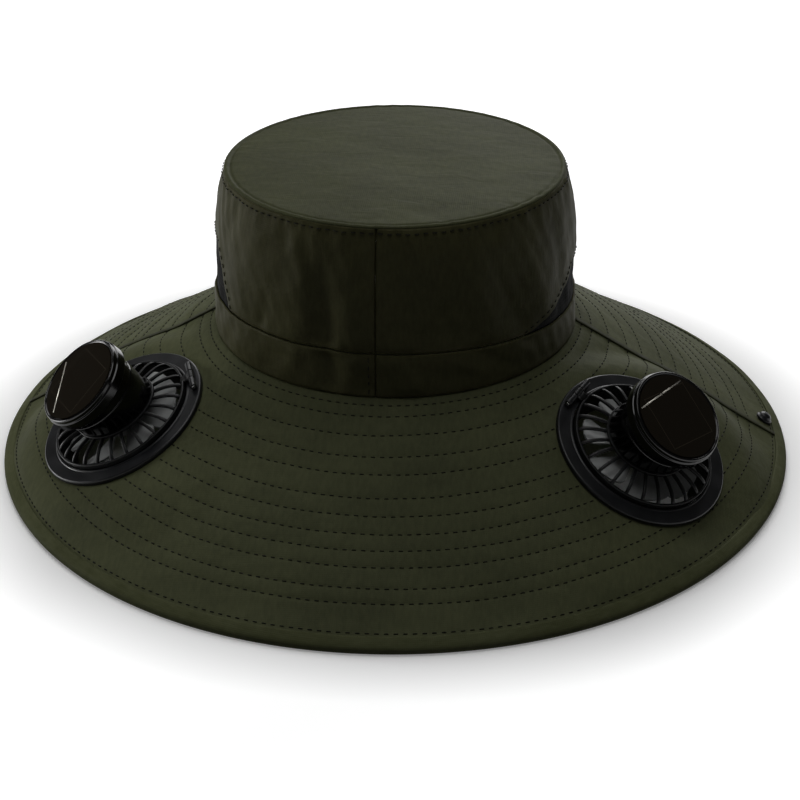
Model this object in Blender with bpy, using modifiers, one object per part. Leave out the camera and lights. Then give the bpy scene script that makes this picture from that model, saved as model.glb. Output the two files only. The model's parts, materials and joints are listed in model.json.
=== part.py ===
"""Wide-brimmed sun hat with a solar fan hinged over a hole on each side of the brim.

Metres, +Z up, hat front towards -Y, brim edge resting on the floor at z = 0.
"""
import math

import bmesh
import bpy
from mathutils import Matrix, Vector

# Head and crown
HEAD_HALF_WIDTH = 0.088
HEAD_HALF_LENGTH = 0.095
CROWN_HEIGHT = 0.080
TIP_HALF_WIDTH = 0.0805
TIP_HALF_LENGTH = 0.0865
TIP_FORWARD = 0.004
TIP_RISE = 0.002
TIP_FLAT = 1.0 / 3.0
WALL_TAPER = 0.0025
SHOULDER_POWER = 6.0
CROWN_WALL = 0.0012
TIP_WALL = 0.0012
BAND_HEIGHT = 0.0215
BAND_DIP_LEFT = 0.0010
BAND_DIP_RIGHT = 0.0045
BAND_WALL = 0.0015
BAND_PROUD = 0.0003
CLOTH_GAP = 0.0003

# Side vents: side, hand, where the front edge starts and ends in degrees round the head, and top
VENT_COLUMNS = ("side", "hand", "front_foot", "front_top", "top")
VENTS = (
    ("left", -1.0, 57.0, 70.0, 0.048),
    ("right", 1.0, 50.0, 81.0, 0.036),
)
VENT_WALL = 0.0010
VENT_CUT_PROUD = 0.0024
VENT_CUT_WALL = 0.0072
VENT_CUT_BELOW = 0.15

# Brim
BRIM_WIDTH = 0.1235
BRIM_SLOPE = 30.0
BRIM_WALL = 0.0020
BRIM_TUCK = 0.0016
TAPE_WIDTH = 0.0055
TAPE_WALL = 0.0010
TAPE_FLAT = 0.0010
LAP_WIDTH = 0.0032
LAP_WALL = 0.0008
LAP_START = 0.0020
SNAP_RADIUS = 0.0042
SNAP_TOP_RADIUS = 0.0029
SNAP_HEIGHT = 0.0036
SNAP_SHOULDER = 0.0022

# Snaps: side, degrees round the head and how far inside the binding
SNAPS = (
    ("left", -99.0, 0.0085),
    ("right", 93.5, 0.0005),
)

# Fan seats: side, degrees round the head, distance down the brim, heading and height of the fan's
# axis in degrees, how far the flange's top stands off the open brim, and the cap's lean on its hub
SEAT_COLUMNS = ("side", "angle", "reach", "heading", "rise", "stand", "lean")
SEATS = (
    ("left", -60.4, 0.0593, -55.3, 62.0, 0.0029, 15.5),
    ("right", 57.6, 0.0604, 47.5, 59.1, 0.0029, 11.5),
)
SEAT_MARGIN = 0.0010
SEAT_SLACK = 0.03

# Fan flange, its collar through the brim and the ring that clamps it from below
FLANGE_RADIUS = 0.0420
FLANGE_HOLE = 0.0345
FLANGE_THICKNESS = 0.0022
FLANGE_CHAMFER = 0.0006
COLLAR_WALL = 0.0012
COLLAR_DEPTH = 0.0085
CLAMP_RADIUS = 0.0388
CLAMP_THICKNESS = 0.0020
CLAMP_GAP = 0.0004
RUN_GAP = 0.0004

# Hinge of the fan head
HINGE_TURN = 18.0
HINGE_RADIUS = 0.0382
HINGE_LENGTH = 0.0196
KNUCKLE_RADIUS = 0.0016
KNUCKLE_FOOT = 0.0026
PIN_RADIUS = 0.0007
PIN_CLEARANCE = 0.0002
KNUCKLE_GAP = 0.0004
ARM_WIDTH = 0.0052
ARM_THICKNESS = 0.0014

# Fan head
LIP_HEIGHT = 0.0026
CAGE_WALL = 0.0013
CAGE_DEPTH = 0.0120
CAGE_TAPER = 0.0025
RIB_COUNT = 26
RIB_PHASE = 0.5
RIB_WIDTH = 0.0016
RIB_THICKNESS = 0.0015
RIB_ARCH = ((1.0, 0.0), (0.84, 0.66), (0.0, 1.0))
DECK_RADIUS = 0.0203
DECK_HEIGHT = 0.0066
DECK_THICKNESS = 0.0016
HUB_FOOT_RADIUS = 0.0196
HUB_TOP_RADIUS = 0.0206
HUB_HEIGHT = 0.0160
CAP_RADIUS = 0.0228
CAP_HEIGHT = 0.0076
CAP_STEP = 0.0006
CAP_GROOVE = 0.0003
CAP_RIM = 0.0021
CELL_RADIUS = 0.0203
CELL_THICKNESS = 0.0006

# Impeller
BLADE_COUNT = 7
BLADE_SPREAD = 43.0
BLADE_TIP_GAP = 0.0028
BLADE_WALL = 0.0011
BLADE_PITCH = 0.0060
ROTOR_HUB_RADIUS = 0.0085
ROTOR_HUB_HEIGHT = 0.0095
ROTOR_CLEARANCE = 0.0012
SHAFT_RADIUS = 0.0012
SHAFT_LENGTH = 0.0080

# Resolution
ROUND_STEPS = 72
HEAD_STEPS = 48
SEAT_ROWS = 3
VENT_STEPS = 8
VENT_ROWS = 2
CROWN_ROWS = 4
ROW_CROWDING = 1.5
TURN_STEPS = 24
SMALL_STEPS = 10


def clear_scene():
    for item in list(bpy.data.objects):
        bpy.data.objects.remove(item, do_unlink=True)


def new_collection(name):
    collection = bpy.data.collections.new(name)
    bpy.context.scene.collection.children.link(collection)
    return collection


def make_material(name, colour, roughness, metallic=0.0):
    material = bpy.data.materials.new(name)
    material.use_nodes = True
    shader = material.node_tree.nodes["Principled BSDF"]
    shader.inputs["Base Color"].default_value = (*colour, 1.0)
    shader.inputs["Roughness"].default_value = roughness
    shader.inputs["Metallic"].default_value = metallic
    material.diffuse_color = (*colour, 1.0)
    return material


def add_object(name, bm, material, collection=None):
    """Turn a bmesh into a named object with its material."""
    mesh = bpy.data.meshes.new(name)
    bm.to_mesh(mesh)
    bm.free()
    item = bpy.data.objects.new(name, mesh)
    (collection or HAT).objects.link(item)
    if material is not None:
        mesh.materials.append(material)
    return item


def apply_modifiers(item):
    """Freeze the modifier stack of an object into its mesh."""
    bpy.context.view_layer.update()
    evaluated = item.evaluated_get(bpy.context.evaluated_depsgraph_get())
    mesh = bpy.data.meshes.new_from_object(evaluated)
    item.modifiers.clear()
    item.data = mesh
    mesh.name = item.name
    return item


def boolean(item, tool, operation, keep_tool=False):
    """Cut or join with the exact solver and freeze the result."""
    modifier = item.modifiers.new(operation.lower(), "BOOLEAN")
    modifier.operation = operation
    modifier.solver = "EXACT"
    modifier.object = tool
    apply_modifiers(item)
    if not keep_tool:
        bpy.data.objects.remove(tool, do_unlink=True)
    return item


def sheet(name, columns, rows, place, wall, material, collection=None):
    """A cloth piece: a grid that place(across, along) sends to the outer face, with its wall inwards."""
    bm = bmesh.new()
    bmesh.ops.create_grid(bm, x_segments=columns, y_segments=rows, size=0.5)
    for vert in bm.verts:
        vert.co = place(vert.co.x + 0.5, vert.co.y + 0.5)
    bmesh.ops.remove_doubles(bm, verts=bm.verts, dist=1e-6)
    item = add_object(name, bm, material, collection)
    solidify = item.modifiers.new("wall", "SOLIDIFY")
    solidify.thickness = wall
    solidify.offset = -1.0
    solidify.use_even_offset = True
    return apply_modifiers(item)


def turned(name, profile, material, steps=TURN_STEPS, collection=None):
    """A turned piece: an open profile of (radius, height) with both ends on the axis, or a closed loop."""
    bm = bmesh.new()
    verts = [bm.verts.new((radius, 0.0, height)) for radius, height in profile]
    closed = profile[0][0] > 0.0
    for start, end in zip(verts, verts[1:] + ([verts[0]] if closed else [])):
        bm.edges.new((start, end))
    item = add_object(name, bm, material, collection)
    screw = item.modifiers.new("turn", "SCREW")
    screw.axis = "Z"
    screw.steps = steps
    screw.render_steps = steps
    screw.use_merge_vertices = True
    screw.merge_threshold = 1e-5
    screw.use_normal_calculate = True
    return face_outwards(apply_modifiers(item))


def face_outwards(item):
    """Weld the seam of a closed mesh and point its faces outwards."""
    bm = bmesh.new()
    bm.from_mesh(item.data)
    bmesh.ops.remove_doubles(bm, verts=bm.verts, dist=1e-6)
    bmesh.ops.recalc_face_normals(bm, faces=bm.faces)
    bm.to_mesh(item.data)
    bm.free()
    return item


def cylinder(name, radius, start, end, material=None, steps=SMALL_STEPS, collection=None):
    """A plain cylinder between two points."""
    start = Vector(start)
    end = Vector(end)
    run = end - start
    turn = run.to_track_quat("Z", "Y").to_matrix().to_4x4()
    bm = bmesh.new()
    bmesh.ops.create_cone(bm, cap_ends=True, segments=steps, radius1=radius, radius2=radius,
                          depth=run.length, matrix=Matrix.Translation((start + end) / 2) @ turn)
    return add_object(name, bm, material, collection)


def block(name, low, high, material=None, collection=None):
    """A plain box between two corners."""
    low = Vector(low)
    high = Vector(high)
    bm = bmesh.new()
    bmesh.ops.create_cube(bm, size=1.0)
    for vert in bm.verts:
        vert.co = Vector([(a + b) / 2 + c * (b - a) for a, b, c in zip(low, high, vert.co)])
    return add_object(name, bm, material, collection)


def mix(start, end, share):
    return start + (end - start) * share


# Places on the hat, worked out from the sizes above
SLOPE = math.radians(BRIM_SLOPE)
EDGE_DROP = BRIM_WIDTH * math.sin(SLOPE)
TAPE_UNDER = BRIM_WALL + CLOTH_GAP + TAPE_WALL
TAPE_REACH = CLOTH_GAP + TAPE_WALL
CROWN_FOOT = (EDGE_DROP + TAPE_REACH * math.sin(SLOPE) + TAPE_UNDER * math.cos(SLOPE)
              - TAPE_FLAT * math.sin(SLOPE))

TAPE_LINE = BRIM_WIDTH - TAPE_WIDTH - CLOTH_GAP


def cage_radius(height):
    """Outer radius of the cage's wall, which narrows below the flange so that it swings clear."""
    return FLANGE_HOLE - RUN_GAP - CAGE_TAPER * max(-height, 0.0) / CAGE_DEPTH


# Places on a fan, from the middle of its flange's top
SEAT_HALF = max(FLANGE_RADIUS, CLAMP_RADIUS) + SEAT_MARGIN
HINGE_HEIGHT = KNUCKLE_RADIUS + CLOTH_GAP
HINGE_PLACE = Vector((-HINGE_RADIUS, 0.0, HINGE_HEIGHT))
ROTOR_TOP = DECK_HEIGHT - DECK_THICKNESS - ROTOR_CLEARANCE
SHAFT_TOP = ROTOR_TOP + SHAFT_LENGTH
SPIN_PLACE = Vector((0.0, 0.0, ROTOR_TOP))
HUB_FOOT = DECK_HEIGHT + CLOTH_GAP
HUB_TOP = HUB_FOOT + HUB_HEIGHT
CAP_FOOT = HUB_TOP + CLOTH_GAP
CAP_TOP = CAP_FOOT + CAP_HEIGHT
BLADE_RADIUS = cage_radius(ROTOR_TOP - ROTOR_HUB_HEIGHT) - CAGE_WALL - BLADE_TIP_GAP


def head_point(angle):
    """A point of the oval where the brim meets the crown, and the level direction away from the head."""
    point = Vector((HEAD_HALF_WIDTH * math.sin(angle), -HEAD_HALF_LENGTH * math.cos(angle), CROWN_FOOT))
    away = Vector((math.sin(angle) / HEAD_HALF_WIDTH, -math.cos(angle) / HEAD_HALF_LENGTH, 0.0))
    return point, away.normalized()


def open_brim(angle, reach):
    """The brim's top face with no fan on it, and the direction it faces."""
    point, away = head_point(angle)
    facing = away * math.sin(SLOPE) + Vector((0.0, 0.0, math.cos(SLOPE)))
    if reach < 0.0:
        return point + away * reach, facing
    run = away * math.cos(SLOPE) - Vector((0.0, 0.0, math.sin(SLOPE)))
    return point + run * reach, facing


def fan_frame(seat):
    """Place of a fan: origin on the flange's top, Z out of the fan and X away from the hinge."""
    row = dict(zip(SEAT_COLUMNS, seat))
    hand = -1.0 if row["side"] == "left" else 1.0
    heading = math.radians(row["heading"])
    rise = math.radians(row["rise"])
    axis = Vector((math.sin(heading) * math.cos(rise), -math.cos(heading) * math.cos(rise), math.sin(rise)))
    point, facing = open_brim(math.radians(row["angle"]), row["reach"])
    uphill = (Vector((0.0, 0.0, 1.0)) - axis * axis.z).normalized()
    forward = -hand * Vector((0.0, 0.0, 1.0)).cross(axis).normalized()
    turn = math.radians(HINGE_TURN)
    to_hinge = uphill * math.cos(turn) + forward * math.sin(turn)
    away = -to_hinge
    side = axis.cross(away)
    frame = Matrix((away, side, axis)).transposed().to_4x4()
    frame.translation = point + facing * row["stand"]
    return row["side"], frame


FAN_FRAMES = [fan_frame(seat) for seat in SEATS]


def cap_lean(side, frame):
    """The lean of a solar cap on its hub, about the level line through the deck, to face further out."""
    level = Vector((0.0, 0.0, 1.0)).cross(frame.col[2].to_3d())
    pivot = Matrix.Translation((0.0, 0.0, DECK_HEIGHT))
    lean = next(row["lean"] for row in (dict(zip(SEAT_COLUMNS, seat)) for seat in SEATS) if row["side"] == side)
    turn = Matrix.Rotation(math.radians(lean), 4, frame.to_3x3().inverted() @ level)
    return pivot @ turn @ pivot.inverted()


def seat_half_angle(frame):
    """Half the angle in degrees, seen from the hat's axis, that a fan's seat takes up."""
    centre = frame.translation
    return math.degrees(math.asin(SEAT_HALF / math.hypot(centre.x, centre.y)))


def in_seat(seat, frame, angle, reach):
    """Whether a point of the brim lies in the flat patch that carries a fan."""
    across = abs(math.degrees(angle) - seat[1]) / seat_half_angle(frame)
    along = abs(reach - seat[2]) / SEAT_HALF
    return max(across, along) < 1.0 + SEAT_SLACK


def brim_angles(start, end):
    """Angles in degrees of the brim's columns, with one along each side of every fan's seat."""
    step = 360.0 / ROUND_STEPS
    marks = [start, end]
    for seat, (_, frame) in zip(SEATS, FAN_FRAMES):
        half = seat_half_angle(frame)
        marks += [mark for mark in (seat[1] - half, seat[1] + half) if start < mark < end]
    even = [start + step * count for count in range(round((end - start) / step) + 1)]
    even = [angle for angle in even if min(abs(angle - mark) for mark in marks) > 0.4 * step]
    return sorted(marks + even)


def brim_reaches(seated):
    """Distances down the brim of its rows; the panel under the fans has rows along their sides."""
    if not seated:
        return [-BRIM_TUCK, 0.0, TAPE_LINE / 2, TAPE_LINE, BRIM_WIDTH]
    centres = [seat[2] for seat in SEATS]
    low = min(centres) - SEAT_HALF
    high = max(centres) + SEAT_HALF
    seat_rows = [mix(low, high, row / SEAT_ROWS) for row in range(SEAT_ROWS + 1)]
    return [-BRIM_TUCK, 0.0] + seat_rows + [TAPE_LINE, BRIM_WIDTH]


def brim_top(angle, reach):
    """The brim's top face, pressed flat under each fan's flange."""
    point, facing = open_brim(angle, reach)
    for seat, (_, frame) in zip(SEATS, FAN_FRAMES):
        if in_seat(seat, frame, angle, reach):
            local = frame.inverted() @ point
            local.z = -(FLANGE_THICKNESS + CLOTH_GAP)
            point = frame @ local
    return point


def crown_face(angle, height, proud=0.0):
    """The crown's outer face: an oval wall that tapers a little and rounds in at its shoulder."""
    share = height / CROWN_HEIGHT
    taper = WALL_TAPER * share
    lean = share ** SHOULDER_POWER
    half_width = mix(HEAD_HALF_WIDTH, TIP_HALF_WIDTH + WALL_TAPER, lean) - taper + proud
    half_length = mix(HEAD_HALF_LENGTH, TIP_HALF_LENGTH + WALL_TAPER, lean) - taper + proud
    forward = TIP_FORWARD * share
    return Vector((half_width * math.sin(angle), -half_length * math.cos(angle) - forward,
                   CROWN_FOOT + height))


def band_top(angle):
    """Height of the band's top edge, which dips towards each side of the head."""
    across = math.sin(angle)
    dip = BAND_DIP_RIGHT if across > 0.0 else BAND_DIP_LEFT
    return BAND_HEIGHT - dip * across ** 2


def between(start, end, share, trim):
    """An angle between two bounds in degrees, held clear of both by a trim in metres at the head's oval."""
    margin = math.degrees(trim / HEAD_HALF_LENGTH)
    return math.radians(min(max(mix(start, end, share), start + margin), end - margin))


def build_crown():
    """Tip, two front panels and a back panel, with the side vents cut out of them."""
    top = CROWN_HEIGHT - TIP_WALL - CLOTH_GAP

    def panel(start, end):
        def place(across, along):
            angle = between(start, end, across, CLOTH_GAP / 2)
            level = mix(band_top(angle) + CLOTH_GAP, top, 1.0 - (1.0 - along) ** ROW_CROWDING)
            return crown_face(angle, level)
        return place

    def tip(across, along):
        angle = mix(-math.pi, math.pi, across)
        rim = crown_face(angle, CROWN_HEIGHT)
        centre = Vector((0.0, -TIP_FORWARD, rim.z + TIP_RISE))
        flat = max(1.0 - along - TIP_FLAT, 0.0) / (1.0 - TIP_FLAT)
        point = centre.lerp(rim, 1.0 - along)
        point.z = rim.z + TIP_RISE * (1.0 - flat ** 2)
        return point

    sheet("crown_tip", HEAD_STEPS, 3, tip, TIP_WALL, NYLON)
    steps = HEAD_STEPS // 4
    panels = [
        sheet("crown_front_left", steps, CROWN_ROWS, panel(-90.0, 0.0), CROWN_WALL, NYLON),
        sheet("crown_front_right", steps, CROWN_ROWS, panel(0.0, 90.0), CROWN_WALL, NYLON),
        sheet("crown_back", 2 * steps, CROWN_ROWS, panel(90.0, 270.0), CROWN_WALL, NYLON),
    ]
    for vent in VENTS:
        build_vent(dict(zip(VENT_COLUMNS, vent)), panels)


def build_vent(vent, panels):
    """A mesh panel above the band, with slanted front and back edges and a level top edge."""
    clear = math.degrees(CLOTH_GAP / HEAD_HALF_LENGTH)
    tall = vent["top"] - BAND_HEIGHT

    def face(grow, start, proud):
        """The panel's face, grown by the cloth gap for its opening or shrunk by it for the mesh."""
        def place(across, along):
            rise = mix(start, 1.0 + grow * CLOTH_GAP / tall, along)
            edge = mix(vent["front_foot"], vent["front_top"], rise - grow * CLOTH_GAP / tall) - grow * clear
            angle = math.radians(mix(edge, 180.0 - edge, across)) * vent["hand"]
            level = mix(band_top(angle) + CLOTH_GAP, vent["top"], rise)
            return crown_face(angle, level, proud)
        if vent["hand"] < 0.0:
            return lambda across, along: place(1.0 - across, along)
        return place

    cutter = sheet("vent_cutter_" + vent["side"], VENT_STEPS, VENT_ROWS,
                   face(1.0, -VENT_CUT_BELOW, VENT_CUT_PROUD), VENT_CUT_WALL, None, CUTTERS)
    for panel in panels:
        boolean(panel, cutter, "DIFFERENCE", keep_tool=True)
    sheet("vent_" + vent["side"], VENT_STEPS, VENT_ROWS, face(-1.0, 0.0, 0.0), VENT_WALL, MESH)


def build_band():
    """The band round the foot of the crown, in two halves that meet at the front seam."""
    def half(start, end):
        def place(across, along):
            angle = between(start, end, across, CLOTH_GAP / 2)
            return crown_face(angle, mix(CLOTH_GAP, band_top(angle), along), BAND_PROUD)
        return place

    steps = HEAD_STEPS // 2
    sheet("band_left", steps, 1, half(-180.0, 0.0), BAND_WALL, NYLON)
    sheet("band_right", steps, 1, half(0.0, 180.0), BAND_WALL, NYLON)


def build_brim():
    """Front and back brim panels, with a hole for each fan's collar in the front one."""
    def panel(name, start, end, seated):
        angles = brim_angles(start, end)
        columns = len(angles) - 1
        reaches = brim_reaches(seated)
        rows = len(reaches) - 1

        def place(across, along):
            share = (angles[round(across * columns)] - start) / (end - start)
            return brim_top(between(start, end, share, CLOTH_GAP), reaches[round((1.0 - along) * rows)])

        return sheet(name, columns, rows, place, BRIM_WALL, NYLON)

    front = panel("brim_front", -90.0, 90.0, True)
    panel("brim_back", 90.0, 270.0, False)
    for side, frame in FAN_FRAMES:
        depth = FLANGE_RADIUS / 2
        cutter = cylinder("brim_hole_" + side, FLANGE_HOLE + COLLAR_WALL + CLOTH_GAP, (0.0, 0.0, -depth),
                          (0.0, 0.0, depth), steps=TURN_STEPS, collection=CUTTERS)
        cutter.matrix_world = frame
        boolean(front, cutter, "DIFFERENCE", keep_tool=True)


def build_binding():
    """The tape folded round the brim's edge, pressed flat where it rests on the floor."""
    above = CLOTH_GAP + TAPE_WALL
    below = -BRIM_WALL - above
    out = TAPE_REACH
    section = (
        (-TAPE_WIDTH, above),
        (-TAPE_WIDTH, CLOTH_GAP),
        (CLOTH_GAP, CLOTH_GAP),
        (CLOTH_GAP, -BRIM_WALL - CLOTH_GAP),
        (-TAPE_WIDTH, -BRIM_WALL - CLOTH_GAP),
        (-TAPE_WIDTH, below),
        (out - TAPE_FLAT, below),
        (out, below),
        (out, above),
    )

    angles = brim_angles(-90.0, 270.0)
    columns = len(angles) - 1

    def place(across, along):
        angle = math.radians(angles[round(across * columns)])
        spot = round(along * len(section)) % len(section)
        out_by, up_by = section[spot]
        point, facing = open_brim(angle, BRIM_WIDTH + out_by)
        point = point + facing * up_by
        point.z = max(point.z, 0.0)
        return point

    bm = bmesh.new()
    bmesh.ops.create_grid(bm, x_segments=columns, y_segments=len(section), size=0.5)
    for vert in bm.verts:
        vert.co = place(vert.co.x + 0.5, vert.co.y + 0.5)
    face_outwards(add_object("brim_binding", bm, BINDING))


def build_seam_laps():
    """The folded lap that covers each side seam of the brim, from the band to the binding."""
    rise = CLOTH_GAP + LAP_WALL
    for side, hand in (("left", -1.0), ("right", 1.0)):
        angle = hand * math.pi / 2

        def place(across, along):
            point, facing = open_brim(angle, mix(TAPE_LINE, LAP_START, along))
            offset = (across - 0.5) * LAP_WIDTH * hand
            return point + facing * rise + Vector((0.0, offset, 0.0))

        sheet("brim_seam_" + side, 1, 2, place, LAP_WALL, NYLON)


def build_snaps():
    """A round snap on the back brim near each side seam."""
    profile = (
        (0.0, CLOTH_GAP),
        (SNAP_RADIUS, CLOTH_GAP),
        (SNAP_RADIUS, CLOTH_GAP + SNAP_SHOULDER),
        (SNAP_TOP_RADIUS, CLOTH_GAP + SNAP_HEIGHT),
        (0.0, CLOTH_GAP + SNAP_HEIGHT),
    )
    for side, angle, inset in SNAPS:
        point, facing = open_brim(math.radians(angle), TAPE_LINE - SNAP_RADIUS - inset)
        snap = turned("snap_" + side, profile, BLACK_PLASTIC, steps=SMALL_STEPS)
        snap.matrix_world = Matrix.Translation(point) @ facing.to_track_quat("Z", "Y").to_matrix().to_4x4()


def empty(name, parent, location):
    """An empty that carries moving pieces on its joint's axis."""
    item = bpy.data.objects.new(name, None)
    HAT.objects.link(item)
    item.parent = parent
    item.location = location
    return item


def carry(item, carrier, offset=(0.0, 0.0, 0.0)):
    """Hang a piece that was modelled round the fan's origin on a carrier that stands off that origin."""
    item.parent = carrier
    item.location = -Vector(offset)
    return item


def build_flange(side, carrier):
    """The flange with its collar and the two outer knuckles of the hinge."""
    flange = turned(side + "_fan_flange", (
        (FLANGE_HOLE, -COLLAR_DEPTH),
        (FLANGE_HOLE + COLLAR_WALL, -COLLAR_DEPTH),
        (FLANGE_HOLE + COLLAR_WALL, -FLANGE_THICKNESS),
        (FLANGE_RADIUS, -FLANGE_THICKNESS),
        (FLANGE_RADIUS, -FLANGE_CHAMFER),
        (FLANGE_RADIUS - FLANGE_CHAMFER, 0.0),
        (FLANGE_HOLE, 0.0),
    ), BLACK_PLASTIC)
    middle = ARM_WIDTH / 2 + KNUCKLE_GAP
    for hand in (-1.0, 1.0):
        near = sorted((hand * middle, hand * HINGE_LENGTH / 2))
        knuckle = cylinder("knuckle", KNUCKLE_RADIUS, (-HINGE_RADIUS, near[0], HINGE_HEIGHT),
                           (-HINGE_RADIUS, near[1], HINGE_HEIGHT))
        foot = block("foot", (-HINGE_RADIUS - KNUCKLE_FOOT / 2, near[0], -FLANGE_THICKNESS / 2),
                     (-HINGE_RADIUS + KNUCKLE_FOOT / 2, near[1], HINGE_HEIGHT))
        boolean(flange, foot, "UNION")
        boolean(flange, knuckle, "UNION")
    drill = cylinder("drill", PIN_RADIUS + PIN_CLEARANCE, (-HINGE_RADIUS, -HINGE_LENGTH, HINGE_HEIGHT),
                     (-HINGE_RADIUS, HINGE_LENGTH, HINGE_HEIGHT))
    boolean(flange, drill, "DIFFERENCE")
    carry(face_outwards(flange), carrier)
    pin = cylinder(side + "_fan_hinge_pin", PIN_RADIUS, (-HINGE_RADIUS, -HINGE_LENGTH / 2, HINGE_HEIGHT),
                   (-HINGE_RADIUS, HINGE_LENGTH / 2, HINGE_HEIGHT), STEEL)
    carry(pin, carrier)


def build_clamp_ring(side, carrier):
    """The plain ring under the brim that holds the collar."""
    top = -FLANGE_THICKNESS - CLOTH_GAP - BRIM_WALL - CLAMP_GAP
    inner = FLANGE_HOLE + COLLAR_WALL + CLOTH_GAP
    carry(turned(side + "_fan_clamp_ring", (
        (inner, top - CLAMP_THICKNESS),
        (CLAMP_RADIUS, top - CLAMP_THICKNESS),
        (CLAMP_RADIUS, top),
        (inner, top),
    ), BLACK_PLASTIC), carrier)


def build_cage(side, carrier):
    """Basket wall, arched ribs and the deck that carries the hub, with the hinge's middle knuckle."""
    lip = cage_radius(0.0)
    foot = cage_radius(-CAGE_DEPTH)
    cage = turned(side + "_fan_cage", (
        (foot - CAGE_WALL, -CAGE_DEPTH),
        (foot, -CAGE_DEPTH),
        (lip, -FLANGE_THICKNESS / 2),
        (lip, LIP_HEIGHT),
        (lip - CAGE_WALL, LIP_HEIGHT),
        (lip - CAGE_WALL, -FLANGE_THICKNESS / 2),
    ), BLACK_PLASTIC)
    deck = turned("deck", (
        (SHAFT_RADIUS + 2.0 * RUN_GAP, DECK_HEIGHT - DECK_THICKNESS),
        (DECK_RADIUS, DECK_HEIGHT - DECK_THICKNESS),
        (DECK_RADIUS, DECK_HEIGHT),
        (SHAFT_RADIUS + 2.0 * RUN_GAP, DECK_HEIGHT),
    ), BLACK_PLASTIC)
    ribs = build_ribs(lip - CAGE_WALL / 2)
    boolean(ribs, deck, "UNION")
    boolean(cage, ribs, "UNION")
    arm = block("arm", (-HINGE_RADIUS, -ARM_WIDTH / 2, HINGE_HEIGHT - ARM_THICKNESS / 2),
                (-lip + CAGE_WALL / 2, ARM_WIDTH / 2, HINGE_HEIGHT + ARM_THICKNESS / 2))
    knuckle = cylinder("knuckle", KNUCKLE_RADIUS, (-HINGE_RADIUS, -ARM_WIDTH / 2, HINGE_HEIGHT),
                       (-HINGE_RADIUS, ARM_WIDTH / 2, HINGE_HEIGHT))
    drill = cylinder("drill", PIN_RADIUS + PIN_CLEARANCE, (-HINGE_RADIUS, -ARM_WIDTH, HINGE_HEIGHT),
                     (-HINGE_RADIUS, ARM_WIDTH, HINGE_HEIGHT))
    boolean(knuckle, arm, "UNION")
    boolean(knuckle, drill, "DIFFERENCE")
    boolean(cage, knuckle, "UNION")
    carry(face_outwards(cage), carrier, HINGE_PLACE)


def build_ribs(reach):
    """The ribs as one mesh: each is an arch from the basket's wall to the deck, turned round the axis."""
    inner = DECK_RADIUS - RIB_THICKNESS
    low = -FLANGE_THICKNESS / 2
    high = DECK_HEIGHT - RIB_THICKNESS
    bm = bmesh.new()
    for count in range(RIB_COUNT):
        turn = Matrix.Rotation(2.0 * math.pi * (count + RIB_PHASE) / RIB_COUNT, 4, "Z")
        made = bmesh.ops.create_grid(bm, x_segments=1, y_segments=len(RIB_ARCH) - 1, size=0.5)["verts"]
        for vert in made:
            out, up = RIB_ARCH[round((vert.co.y + 0.5) * (len(RIB_ARCH) - 1))]
            radius = mix(inner, reach, out)
            height = mix(low, high, up)
            vert.co = turn @ Vector((radius, vert.co.x * RIB_WIDTH, height))
    item = add_object("ribs", bm, BLACK_PLASTIC)
    solidify = item.modifiers.new("wall", "SOLIDIFY")
    solidify.thickness = RIB_THICKNESS
    solidify.offset = 0.0
    return apply_modifiers(item)


def build_hub(side, carrier, lean):
    """Motor housing from the deck up to the leaning cap, with a blind hole for the impeller's shaft."""
    bore = SHAFT_RADIUS + RUN_GAP
    bore_top = SHAFT_TOP + 2.0 * RUN_GAP
    hub = turned(side + "_fan_hub", (
        (0.0, bore_top),
        (bore, bore_top),
        (bore, HUB_FOOT),
        (HUB_FOOT_RADIUS, HUB_FOOT),
        (HUB_TOP_RADIUS, HUB_TOP),
        (0.0, HUB_TOP),
    ), GLOSS_BLACK)
    for vert in hub.data.vertices:
        if vert.co.z > mix(bore_top, HUB_TOP, 0.5):
            vert.co = lean @ vert.co
    carry(hub, carrier, HINGE_PLACE)


def build_solar_cap(side, carrier, lean):
    """The stepped bezel on the hub and the round cell set in it."""
    pocket = CELL_RADIUS + CLOTH_GAP
    cap = turned(side + "_fan_solar_cap", (
        (0.0, CAP_FOOT),
        (CAP_RADIUS - CAP_STEP, CAP_FOOT),
        (CAP_RADIUS, CAP_FOOT + CAP_STEP),
        (CAP_RADIUS, CAP_TOP - CAP_RIM - CAP_GROOVE),
        (CAP_RADIUS - CAP_STEP, CAP_TOP - CAP_RIM),
        (CAP_RADIUS - CAP_STEP, CAP_TOP - CAP_STEP),
        (CAP_RADIUS - 2.0 * CAP_STEP, CAP_TOP),
        (pocket, CAP_TOP),
        (pocket, CAP_TOP - CELL_THICKNESS - CLOTH_GAP),
        (0.0, CAP_TOP - CELL_THICKNESS - CLOTH_GAP),
    ), GLOSS_BLACK)
    cell = cylinder(side + "_fan_solar_cell", CELL_RADIUS, (0.0, 0.0, CAP_TOP - CELL_THICKNESS),
                    (0.0, 0.0, CAP_TOP), SOLAR_GLASS, steps=TURN_STEPS)
    for item in (cap, cell):
        item.data.transform(lean)
        carry(item, carrier, HINGE_PLACE)


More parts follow.
